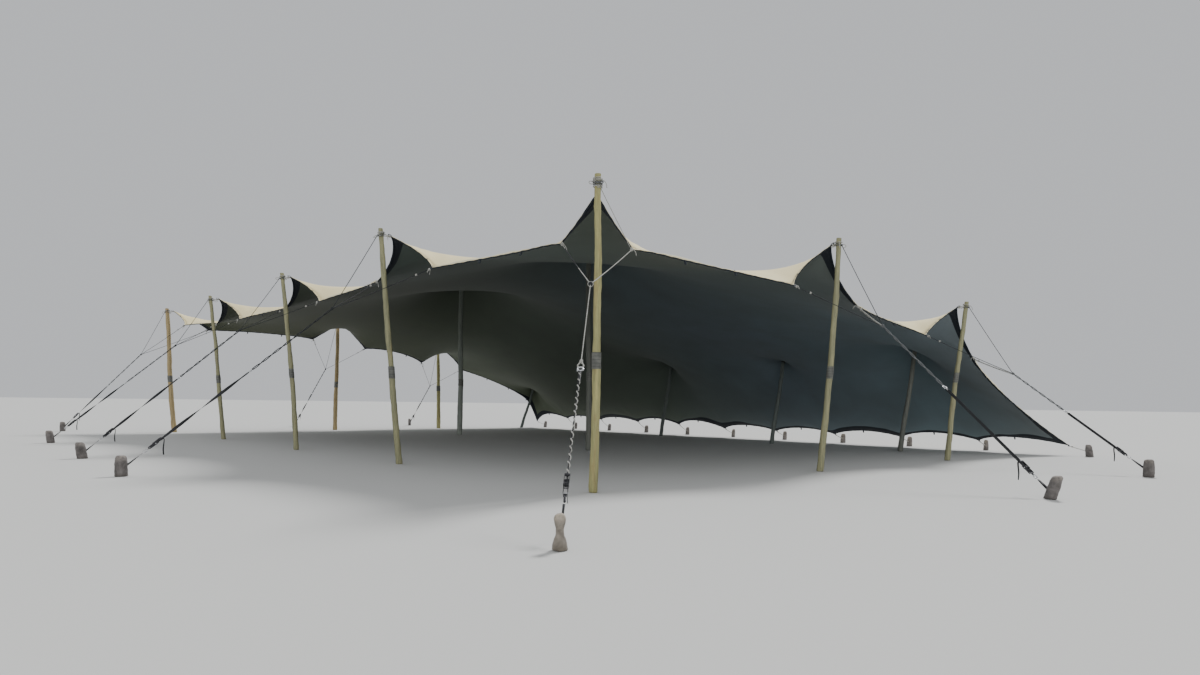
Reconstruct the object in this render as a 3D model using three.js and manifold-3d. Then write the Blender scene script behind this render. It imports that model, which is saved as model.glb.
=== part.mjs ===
// A stretch tent, built as the real one is rigged: one elastic canopy cut 20 m by 15 m, held up by fifteen
// wooden poles, with its high edges guyed out to nine ground stakes and its low edge pegged along eleven.
// Millimetres, +Z up. The tables give each point as [along the long high edge, across towards the low edge,
// up] from the foot of the corner pole. Across is x and along is y, and the finished tent is centred at the end.
import * as THREE from "three";
import { mergeVertices } from "three/addons/utils/BufferGeometryUtils.js";
import Module from "manifold-3d";

const wasm = await Module();
wasm.setup();

// The canopy is cut in whole loops: its edge carries a webbing loop at each metre.
const LOOPS_LONG = 20;
const LOOPS_SHORT = 15;
const NET_PER_LOOP = 2;
const CLOTH = 24;

// How the cloth stretches: the size of an unstretched loop, the spring of its threads and of their diagonals, and
// the least pull left in a slack one.
const LOOP = 920;
const SPRING = 10;
const SHEAR = 5;
const LEAST_PULL = 0.03;

// The extra pull of the webbing: round the rim, beside each tied tip, beside the tip at the front corner, along
// the hem, down the short sides near the hem, and of the strap sewn inwards from each tip.
const RIM_PULL = 4.0;
const TIP_PULL = 1.0;
const CORNER_PULL = 6.0;
const HEM_PULL = 2.4;
const SIDE_PULL = 4.5;
const SIDE_FROM = 11;
const TIP_STRAP = { pull: 1.0, end: 0.2, loops: 1.2 };

const ROUNDS = 26;
const SWEEPS = 70;
const OVER_RELAX = 1.8;
const EASE = 0.35;

// Clearance that touching pieces keep, and how far a cut reaches over the cloth.
const GAP = 0.3;
const ABOVE_CLOTH = 400;

const POLE = { foot: 58, top: 43, sides: 10, cap: 30 };
const STOUT_POLE = { foot: 80, top: 62, sides: 10, cap: 30 };
const KING_POLE = { foot: 70, top: 58, sides: 10, cap: 30 };
const HIGH_KING_POLE = { foot: 92, top: 78, sides: 10, cap: 30 };
const PROP_POLE = { foot: 64, top: 54, sides: 10, cap: 30 };
const PAD = { radius: 150, height: 90, sides: 12 };

const ROPE = { radius: 8, sides: 6, knot: 22 };
const LOOP_STAND_OFF = 80;
const LASHING = { drop: 90, height: 46, bulk: 15 };
const STRAP = { width: 50, thick: 8 };
const RATCHET = { width: 72, thick: 52, length: 230, fromStake: 420 };
const STRAP_TAIL = 260;
const HOOK = { radius: 20, length: 120, at: 0.42 };

const COVER = { radius: 88, shoulder: 70, height: 305, sides: 12, grip: 105 };
const WAISTED_COVER = { radius: 68, shoulder: 56, height: 300, sides: 12 };
const HEM_COVER = { radius: 82, shoulder: 66, height: 270, sides: 12, grip: 120 };
const HEM_HEIGHTS = [250, 280, 280, 280, 300, 310, 380, 420, 450, 450, 270];
const HEM_LINE = 14400;
const HEM_START = -810;
const HEM_PITCH = 2098;
const HEM_STAKE_OUT = 450;
const CORNER_STAKE = [-1280, 14330, 0];

// Each guyed pole: its foot, the top of its head, the loop of the canopy tied to it and where that loop hangs,
// the two loops that its bridle holds down, the junction of the ropes and the stake.
const GUYED = [
  {
    name: "front_corner",
    foot: [0, 0],
    head: [-220, -180, 4000],
    tip: { loop: [0, 0], at: [-50, -50, 3780] },
    bridle: [
      { loop: [1, 0], at: [1007, 237, 3350] },
      { loop: [0, 1], at: [300, 944, 3270] },
    ],
    join: [-800, -780, 2470],
    stake: [-2730, -2725],
  },
  {
    name: "long_1",
    foot: [5300, 100],
    head: [5160, -480, 4110],
    tip: { loop: [5, 0], at: [5180, -250, 3990] },
    bridle: [
      { loop: [4, 0], at: [4160, 10, 3350] },
      { loop: [6, 0], at: [6240, 30, 3350] },
    ],
    join: [5300, -1230, 2640],
    stake: [5380, -4150],
  },
  {
    name: "long_2",
    foot: [9980, 50],
    head: [10370, -300, 3940],
    tip: { loop: [10, 0], at: [10380, -90, 3870] },
    bridle: [
      { loop: [9, 0], at: [9360, 190, 3260] },
      { loop: [11, 0], at: [11400, 190, 3260] },
    ],
    join: [10000, -1250, 2560],
    stake: [9380, -4020],
  },
  {
    name: "long_3",
    foot: [15350, 100],
    head: [15570, -370, 3900],
    tip: { loop: [15, 0], at: [15580, -130, 3830] },
    bridle: [
      { loop: [14, 0], at: [14560, 130, 3230] },
      { loop: [16, 0], at: [16600, 130, 3230] },
    ],
    join: [15400, -1200, 2480],
    stake: [15240, -3790],
  },
  {
    name: "far_corner",
    size: STOUT_POLE,
    foot: [20550, 120],
    head: [20790, -240, 3990],
    tip: { loop: [20, 0], at: [20700, -50, 3900] },
    bridle: [
      { loop: [19, 0], at: [19760, 60, 3400] },
      { loop: [20, 1], at: [20560, 980, 3350] },
    ],
    join: [21330, -800, 2480],
    stake: [22600, -2600],
  },
  {
    name: "right_1",
    foot: [130, 5270],
    head: [-330, 5210, 3970],
    tip: { loop: [0, 5], at: [-170, 5200, 3850] },
    bridle: [
      { loop: [0, 4], at: [-120, 4160, 3070] },
      { loop: [0, 6], at: [-50, 6240, 2920] },
    ],
    join: [-1210, 5010, 2390],
    stake: [-3830, 4200],
  },
  {
    name: "right_2",
    foot: [100, 10000],
    head: [-260, 10310, 3370],
    tip: { loop: [0, 10], at: [-60, 10260, 3240] },
    bridle: [
      { loop: [0, 9], at: [160, 9260, 2610] },
      { loop: [0, 11], at: [60, 11300, 2210] },
    ],
    join: [-1300, 9900, 1800],
    stake: [-3700, 9060],
  },
  {
    name: "left_1",
    size: STOUT_POLE,
    foot: [20450, 5400],
    head: [20750, 5467, 4050],
    tip: { loop: [20, 5], at: [20350, 5450, 3950] },
    bridle: [
      { loop: [20, 4], at: [20400, 4430, 3260] },
      { loop: [20, 6], at: [20580, 6500, 3030] },
    ],
    join: [21700, 5470, 2250],
    stake: [24600, 5500],
  },
  {
    name: "left_2",
    size: STOUT_POLE,
    foot: [20580, 9750],
    head: [20934, 9819, 3350],
    tip: { loop: [20, 10], at: [20640, 9800, 3230] },
    bridle: [
      { loop: [20, 9], at: [20420, 8800, 2600] },
      { loop: [20, 11], at: [20700, 10780, 2400] },
    ],
    join: [21750, 9970, 1720],
    stake: [24200, 10400],
  },
];

// Poles that stand under the cloth: the net's knot that each one lifts, its foot and the peak that it makes.
const INNER = [
  { name: "king_pole_1", size: KING_POLE, knot: [6.5, 5.5], foot: [6620, 5650], peak: [6776, 5706, 5250] },
  { name: "king_pole_2", size: HIGH_KING_POLE, knot: [14.5, 7.5], foot: [15140, 7380], peak: [15330, 7404, 6000] },
  { name: "prop_pole_1", size: PROP_POLE, knot: [2.5, 12.5], foot: [2310, 12250], peak: [2080, 12750, 2820] },
  { name: "prop_pole_2", size: PROP_POLE, knot: [6.5, 12.5], foot: [6290, 12370], peak: [6120, 12750, 2460] },
  { name: "prop_pole_3", size: PROP_POLE, knot: [11.5, 13], foot: [11390, 13070], peak: [11200, 13400, 2600] },
  { name: "prop_pole_4", size: PROP_POLE, knot: [19.5, 14], foot: [20170, 13560], peak: [19800, 13900, 1760] },
];

const finishes = {
  cloth: new THREE.MeshStandardMaterial({ color: 0xcfc6a8, roughness: 0.85, metalness: 0 }),
  wood: new THREE.MeshStandardMaterial({ color: 0xa89a72, roughness: 0.8, metalness: 0 }),
  rope: new THREE.MeshStandardMaterial({ color: 0xc9c8c2, roughness: 0.9, metalness: 0 }),
  cover: new THREE.MeshStandardMaterial({ color: 0x807868, roughness: 0.9, metalness: 0 }),
};

const tent = new THREE.Group();
const vector = ([along, across, up]) => new THREE.Vector3(across, along, up);

// A closed three.js geometry as a solid that can be cut and joined.
function solid(geometry) {
  const bare = geometry.clone();
  bare.deleteAttribute("normal");
  bare.deleteAttribute("uv");
  const merged = mergeVertices(bare, 1e-3);
  return new wasm.Manifold(
    new wasm.Mesh({
      numProp: 3,
      vertProperties: new Float32Array(merged.attributes.position.array),
      triVerts: new Uint32Array(merged.index.array),
    }),
  );
}

function addPiece(name, shape, finish) {
  const { vertProperties, triVerts } = shape.getMesh();
  const geometry = new THREE.BufferGeometry();
  geometry.setAttribute("position", new THREE.BufferAttribute(vertProperties, 3));
  geometry.setIndex(new THREE.BufferAttribute(triVerts, 1));
  geometry.computeVertexNormals();
  const mesh = new THREE.Mesh(geometry, finish);
  mesh.name = name;
  tent.add(mesh);
}

const joined = (pieces) => pieces.reduce((sum, piece) => sum.add(piece));

// What is left of a cut piece once the slivers that the cut parts from it are dropped.
const mainBody = (shape) => shape.decompose().reduce((most, body) => (body.volume() > most.volume() ? body : most));

// A turned shape whose axis leans from the middle of its level foot to the middle of its level top.
function leaning(profile, sides, foot, top) {
  const shape = new THREE.LatheGeometry(profile, sides).rotateX(Math.PI / 2);
  const axis = new THREE.Vector3().subVectors(top, foot);
  const lean = new THREE.Matrix4().makeBasis(new THREE.Vector3(1, 0, 0), new THREE.Vector3(0, 1, 0), axis);
  return shape.applyMatrix4(lean.setPosition(foot));
}

function pole(size, foot, top, grown = 0) {
  const shoulder = 1 - size.cap / (top.z - foot.z);
  const profile = [
    new THREE.Vector2(0, 0),
    new THREE.Vector2(size.foot + grown, 0),
    new THREE.Vector2(size.top + grown, shoulder),
    new THREE.Vector2(size.top * 0.7 + grown, 1),
    new THREE.Vector2(0, 1),
  ];
  return solid(leaning(profile, size.sides, foot, top));
}

// Turns a shape made along +Z so that it runs from one point to another.
function between(geometry, from, to) {
  const along = new THREE.Vector3().subVectors(to, from).normalize();
  const side = new THREE.Vector3().crossVectors(new THREE.Vector3(0, 0, 1), along).normalize();
  const up = new THREE.Vector3().crossVectors(along, side);
  const turn = new THREE.Matrix4().makeBasis(side, up, along);
  const middle = new THREE.Vector3().lerpVectors(from, to, 0.5);
  return solid(geometry.applyMatrix4(turn.setPosition(middle)));
}

function bar(from, to, radius, sides = ROPE.sides) {
  const length = from.distanceTo(to);
  return between(new THREE.CylinderGeometry(radius, radius, length, sides).rotateX(Math.PI / 2), from, to);
}

function band(from, to, width, thick) {
  return between(new THREE.BoxGeometry(width, thick, from.distanceTo(to)), from, to);
}

function knot(at, radius) {
  return solid(new THREE.IcosahedronGeometry(radius, 0).translate(at.x, at.y, at.z));
}

// The net of the canopy: knots half a loop apart, joined by threads both ways and by diagonals.
const COLUMNS = LOOPS_LONG * NET_PER_LOOP + 1;
const ROWS = LOOPS_SHORT * NET_PER_LOOP + 1;
const knotIndex = (column, row) => column * ROWS + row;
const knotOf = ([u, v]) => knotIndex(Math.round(u * NET_PER_LOOP), Math.round(v * NET_PER_LOOP));

function heldKnots() {
  const held = new Map();
  for (const { tip, bridle } of GUYED) {
    for (const tied of [tip, ...bridle]) held.set(knotOf(tied.loop), vector(tied.at));
  }
  for (const { knot: lifted, peak } of INNER) held.set(knotOf(lifted), vector(peak));
  for (const peg of hemPegs()) held.set(knotOf(peg.loop), peg.at);
  return held;
}

function hemPegs() {
  const pegs = [];
  for (let loop = 0; loop <= LOOPS_LONG; loop += 2) {
    const along = HEM_START + (loop / 2) * HEM_PITCH;
    pegs.push({
      loop: [loop, LOOPS_SHORT],
      at: vector([along, HEM_LINE, HEM_HEIGHTS[loop / 2]]),
      stake: vector(loop === 0 ? CORNER_STAKE : [along, HEM_LINE + HEM_STAKE_OUT, 0]),
    });
  }
  return pegs;
}

const LAST_COLUMN = COLUMNS - 1;
const LAST_ROW = ROWS - 1;

const nearTip = (loop, side) =>
  GUYED.some(({ tip }) => side(tip.loop) && Math.abs(tip.loop[side === onLongEdge ? 0 : 1] - loop) < 1);
const onLongEdge = ([, v]) => v === 0;
const onRight = ([u]) => u === 0;
const onLeft = ([u]) => u === LOOPS_LONG;

// The webbing's pull on the thread that starts at a knot and runs along the long edges, or across.
function webbingAlong(column, row) {
  const loop = (column + 0.5) / NET_PER_LOOP;
  if (row === LAST_ROW) return HEM_PULL;
  if (row > 0) return 0;
  if (loop < 1) return CORNER_PULL;
  return nearTip(loop, onLongEdge) ? TIP_PULL : RIM_PULL;
}

function webbingAcross(column, row) {
  if (column > 0 && column < LAST_COLUMN) return 0;
  const loop = (row + 0.5) / NET_PER_LOOP;
  if (column === 0 && loop < 1) return CORNER_PULL;
  if (nearTip(loop, column === 0 ? onRight : onLeft)) return TIP_PULL;
  return loop > SIDE_FROM ? SIDE_PULL : RIM_PULL;
}

// The threads that a strap follows inwards from the tip where it is sewn, each with its share of the strap's pull.
function strapThreads() {
  const steps = Math.round(TIP_STRAP.loops * NET_PER_LOOP);
  const pulls = new Map();
  for (const { tip } of GUYED) {
    const [u, v] = tip.loop.map((loop) => loop * NET_PER_LOOP);
    const alongStep = u === 0 ? 1 : u === LAST_COLUMN ? -1 : 0;
    const acrossStep = v === 0 ? 1 : 0;
    for (let step = 0; step < steps; step++) {
      const from = knotIndex(u + alongStep * step, v + acrossStep * step);
      const to = knotIndex(u + alongStep * (step + 1), v + acrossStep * (step + 1));
      const taper = 1 - ((1 - TIP_STRAP.end) * step) / (steps - 1);
      const share = alongStep && acrossStep ? 1.4 : 1;
      pulls.set(Math.min(from, to) + "-" + Math.max(from, to), TIP_STRAP.pull * taper * share * NET_PER_LOOP);
    }
  }
  return pulls;
}

function netThreads() {
  const threads = [];
  const straps = strapThreads();
  const mesh = LOOP / NET_PER_LOOP;
  const add = (from, to, rest, spring, share, webbing) => {
    const strap = straps.get(Math.min(from, to) + "-" + Math.max(from, to)) ?? 0;
    threads.push({ from, to, rest, spring, share, extra: webbing * NET_PER_LOOP + strap, pull: 0 });
  };
  for (let column = 0; column < COLUMNS; column++) {
    for (let row = 0; row < ROWS; row++) {
      const here = knotIndex(column, row);
      const sideShare = column === 0 || column === LAST_COLUMN ? 0.5 : 1;
      const edgeShare = row === 0 || row === LAST_ROW ? 0.5 : 1;
      const [onwards, inwards] = [column < LAST_COLUMN, row < LAST_ROW];
      if (onwards) add(here, knotIndex(column + 1, row), mesh, SPRING, edgeShare, webbingAlong(column, row));
      if (inwards) add(here, knotIndex(column, row + 1), mesh, SPRING, sideShare, webbingAcross(column, row));
      if (!onwards || !inwards) continue;
      add(here, knotIndex(column + 1, row + 1), mesh * Math.SQRT2, SHEAR, 1, 0);
      add(knotIndex(column + 1, row), knotIndex(column, row + 1), mesh * Math.SQRT2, SHEAR, 1, 0);
    }
  }
  return threads;
}

// Lets the stretched cloth come to rest between the points that hold it.
function relaxedNet() {
  const held = heldKnots();
  const knots = [];
  for (let column = 0; column < COLUMNS; column++) {
    for (let row = 0; row < ROWS; row++) {
      const across = row / LAST_ROW;
      const start = vector([(column / LAST_COLUMN) * 20600, across * HEM_LINE, 3500 - 3000 * across * across]);
      knots.push(held.get(knotIndex(column, row))?.clone() ?? start);
    }
  }
  const threads = netThreads();
  const touching = knots.map(() => []);
  for (const thread of threads) {
    touching[thread.from].push([thread, thread.to]);
    touching[thread.to].push([thread, thread.from]);
  }
  const mean = new THREE.Vector3();
  for (let round = 0; round < ROUNDS; round++) {
    for (const thread of threads) {
      const stretch = knots[thread.from].distanceTo(knots[thread.to]) / thread.rest;
      const sprung = round === 0 ? thread.spring / SPRING : Math.max(thread.spring * (1 - 1 / stretch), LEAST_PULL);
      const wanted = sprung * thread.share + thread.extra;
      thread.pull = round < 2 ? wanted : THREE.MathUtils.lerp(thread.pull, wanted, EASE);
    }
    for (let sweep = 0; sweep < SWEEPS * (round === 0 ? 5 : 1); sweep++) {
      for (let here = 0; here < knots.length; here++) {
        if (held.has(here)) continue;
        let pull = 0;
        mean.set(0, 0, 0);
        for (const [thread, other] of touching[here]) {
          mean.addScaledVector(knots[other], thread.pull);
          pull += thread.pull;
        }
        knots[here].lerp(mean.divideScalar(pull), OVER_RELAX);
      }
    }
  }
  return knots;
}

const net = relaxedNet();

const netFaces = [];
for (let column = 0; column < COLUMNS - 1; column++) {
  for (let row = 0; row < ROWS - 1; row++) {
    const [a, b] = [knotIndex(column, row), knotIndex(column + 1, row)];
    const [c, d] = [knotIndex(column + 1, row + 1), knotIndex(column, row + 1)];
    netFaces.push(a, c, b, a, d, c);
  }
}

const netNormals = (() => {
  const middle = new THREE.BufferGeometry().setFromPoints(net).setIndex(netFaces);
  middle.computeVertexNormals();
  return net.map((_, i) => new THREE.Vector3().fromBufferAttribute(middle.attributes.normal, i));
})();

function rimKnots() {
  const rim = [];
  for (let column = 0; column < COLUMNS - 1; column++) rim.push(knotIndex(column, 0));
  for (let row = 0; row < ROWS - 1; row++) rim.push(knotIndex(COLUMNS - 1, row));
  for (let column = COLUMNS - 1; column > 0; column--) rim.push(knotIndex(column, ROWS - 1));
  for (let row = ROWS - 1; row > 0; row--) rim.push(knotIndex(0, row));
  return rim;
}

// The cloth as a closed solid between a lower and an upper face.
function clothSolid(below, above, lift = 0) {
  const count = net.length;
  const upper = net.map((p, i) => p.clone().addScaledVector(netNormals[i], above).add(new THREE.Vector3(0, 0, lift)));
  const lower = net.map((p, i) => p.clone().addScaledVector(netNormals[i], -below));
  const faces = [];
  for (let i = 0; i < netFaces.length; i += 3) {
    const [a, b, c] = netFaces.slice(i, i + 3);
    faces.push(a, b, c, a + count, c + count, b + count);
  }
  const rim = rimKnots();
  rim.forEach((here, i) => {
    const next = rim[(i + 1) % rim.length];
    faces.push(here, next, here + count, next, next + count, here + count);
  });
  return solid(new THREE.BufferGeometry().setFromPoints([...upper, ...lower]).setIndex(faces));
}

const canopy = clothSolid(CLOTH / 2, CLOTH / 2);
const shifts = [[0, 0, 0]];
for (const x of [GAP, -GAP]) {
  for (const y of [GAP, -GAP]) shifts.push([x, y, GAP], [x, y, -GAP]);
}
const clearOfCanopy = (piece) =>
  mainBody(shifts.reduce((left, shift) => left.subtract(canopy.translate(shift)), piece));

addPiece("canopy", canopy, finishes.cloth);

function cover(size, stake, out, grown = 0) {
  const profile = [
    new THREE.Vector2(0, 0),
    new THREE.Vector2(size.radius + grown, 0),
    new THREE.Vector2(size.radius * 0.92 + grown, 0.35),
    new THREE.Vector2(size.shoulder + grown, 0.8),
    new THREE.Vector2(size.shoulder * 0.6 + grown, 0.97),
    new THREE.Vector2(0, 1 + grown / size.height),
  ];
  const top = stake.clone().addScaledVector(out, 40).setZ(size.height);
  return solid(leaning(profile, size.sides, stake, top));
}

// The rope ring round a pole's head, on the pole's own lean.
function lashing(size, foot, top) {
  const bottom = top.clone().lerp(foot, (LASHING.drop + LASHING.height) / (top.z - foot.z));
  const upper = top.clone().lerp(foot, LASHING.drop / (top.z - foot.z));
  const inner = size.top + 4;
  const profile = [
    new THREE.Vector2(inner - 10, 0),
    new THREE.Vector2(inner + LASHING.bulk, 0),
    new THREE.Vector2(inner + LASHING.bulk, 1),
    new THREE.Vector2(inner - 10, 1),
    new THREE.Vector2(inner - 10, 0),
  ];
  return solid(leaning(profile, size.sides, bottom, upper));
}

for (const { name, size = POLE, foot, head, tip, bridle, join, stake } of GUYED) {
  const footPoint = vector([...foot, 0]);
  const headPoint = vector(head);
  const stakePoint = vector([...stake, 0]);
  const joinPoint = vector(join);
  const out = stakePoint.clone().sub(footPoint).setZ(0).normalize();

  addPiece("pole_" + name, pole(size, footPoint, headPoint), finishes.wood);
  const coverSize = name === "front_corner" ? WAISTED_COVER : COVER;
  addPiece("stake_" + name, cover(coverSize, stakePoint, out), finishes.cover);

  const ringDrop = (LASHING.drop + LASHING.height / 2) / headPoint.z;
  const ringPoint = headPoint.clone().lerp(footPoint, ringDrop);
  const outside = ringPoint.clone().addScaledVector(out, size.top + LASHING.bulk / 2);
  const tipPoint = vector(tip.at);
  const grip = stakePoint.clone().setZ(COVER.grip);
  const hookPoint = joinPoint.clone().lerp(grip, HOOK.at);
  const down = grip.clone().sub(hookPoint).normalize();
  const hookEnd = hookPoint.clone().addScaledVector(down, HOOK.length);
  const ratchetLow = grip.clone().addScaledVector(down, -RATCHET.fromStake);
  const ratchetHigh = ratchetLow.clone().addScaledVector(down, -RATCHET.length);
  const tailEnd = ratchetHigh.clone().add(new THREE.Vector3(0, 0, -STRAP_TAIL));

  // At the front corner the head's rope runs down beside the cloth to the right-hand loop's rope.
  const loopPoint = vector(bridle[bridle.length - 1].at);
  const besideLoop = loopPoint.clone().addScaledVector(joinPoint.clone().sub(loopPoint).normalize(), LOOP_STAND_OFF);
  const headLine = name === "front_corner" ? bar(ringPoint, besideLoop, ROPE.radius) : bar(outside, joinPoint, ROPE.radius);

  const line = joined([
    lashing(size, footPoint, headPoint),
    headLine,
    bar(ringPoint, tipPoint, ROPE.radius),
    ...bridle.map((tied) => bar(vector(tied.at), joinPoint, ROPE.radius)),
    knot(joinPoint, ROPE.knot),
    bar(joinPoint, hookPoint, ROPE.radius),
    bar(hookPoint, hookEnd, HOOK.radius),
    band(hookPoint.clone().lerp(hookEnd, 0.5), grip, STRAP.width, STRAP.thick),
    band(ratchetHigh, ratchetLow, RATCHET.width, RATCHET.thick),
    band(ratchetHigh.clone().lerp(ratchetLow, 0.1), tailEnd, STRAP.width, STRAP.thick),
  ]);
  const cuts = [pole(size, footPoint, headPoint, GAP), cover(coverSize, stakePoint, out, GAP)];
  const free = cuts.reduce((left, cut) => left.subtract(cut), clearOfCanopy(line));
  addPiece("guy_" + name, mainBody(free), finishes.rope);
}

const overCloth = clothSolid(CLOTH / 2 + GAP, CLOTH / 2, ABOVE_CLOTH);
for (const { name, size, foot, peak } of INNER) {
  const footPoint = vector([...foot, 0]);
  const peakPoint = vector(peak);
  const shaft = pole(size, footPoint, peakPoint);
  const pad = new THREE.SphereGeometry(1, PAD.sides, 6);
  pad.rotateX(Math.PI / 2).scale(PAD.radius, PAD.radius, PAD.height);
  pad.translate(peakPoint.x, peakPoint.y, peakPoint.z - PAD.height);
  addPiece(name, mainBody(shaft.add(solid(pad)).subtract(overCloth)), finishes.wood);
}

hemPegs().forEach(({ at, stake }, i) => {
  const out = new THREE.Vector3(1, 0, 0);
  const hemCover = cover(HEM_COVER, stake, out);
  const grip = stake.clone().setZ(HEM_COVER.grip);
  const tie = clearOfCanopy(bar(at, grip, ROPE.radius));
  addPiece("hem_stake_" + String(i + 1).padStart(2, "0"), hemCover.add(tie), finishes.cover);
});

// The finished tent stands on z = 0 with the middle of its plan at the origin.
const reach = new THREE.Box3().setFromObject(tent);
const middle = reach.getCenter(new THREE.Vector3());
tent.position.set(-middle.x, -middle.y, 0);

const site = new THREE.Group();
site.add(tent);

export default site;
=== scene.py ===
"""The finished look of a stretch tent: one elastic canopy held up by wooden poles, guyed and pegged out.

Metres, +Z up, +Y along the long high edge, +X across the tent towards its low pegged edge. The tables
give each point as (along, across, up) from the foot of the corner pole, as it is measured out on the ground.
"""

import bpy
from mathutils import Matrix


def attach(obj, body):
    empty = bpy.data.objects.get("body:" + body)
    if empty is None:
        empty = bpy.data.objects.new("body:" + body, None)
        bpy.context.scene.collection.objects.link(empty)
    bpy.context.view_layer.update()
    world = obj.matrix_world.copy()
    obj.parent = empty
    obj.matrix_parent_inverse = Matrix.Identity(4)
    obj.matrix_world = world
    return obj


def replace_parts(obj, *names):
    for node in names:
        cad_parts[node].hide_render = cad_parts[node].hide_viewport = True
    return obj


bl_info = {
    "name": "Stretch tent",
    "version": (1, 0, 0),
    "blender": (4, 5, 0),
    "location": "View3D > Sidebar > Tent",
    "description": "Builds a stretch tent's canopy, poles, ropes, straps and pegs, and its studio",
    "category": "Object",
}

import math
from types import SimpleNamespace

import bpy
import numpy as np
from bpy.props import FloatProperty, FloatVectorProperty, PointerProperty
from mathutils import Matrix, Vector

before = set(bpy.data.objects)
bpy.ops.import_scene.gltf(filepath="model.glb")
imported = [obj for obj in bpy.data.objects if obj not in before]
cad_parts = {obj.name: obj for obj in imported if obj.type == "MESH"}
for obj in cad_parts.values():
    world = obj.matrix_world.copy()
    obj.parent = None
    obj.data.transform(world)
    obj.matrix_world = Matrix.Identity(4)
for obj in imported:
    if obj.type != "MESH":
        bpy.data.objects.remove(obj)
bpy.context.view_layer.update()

UP = np.array([0, 0, 1.0])
TURN = 2 * math.pi
CORNER_FOOT = np.array([-5.348003, -10.385549, 0.0])
LOOPS_LONG = 20
LOOPS_SHORT = 15

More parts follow.
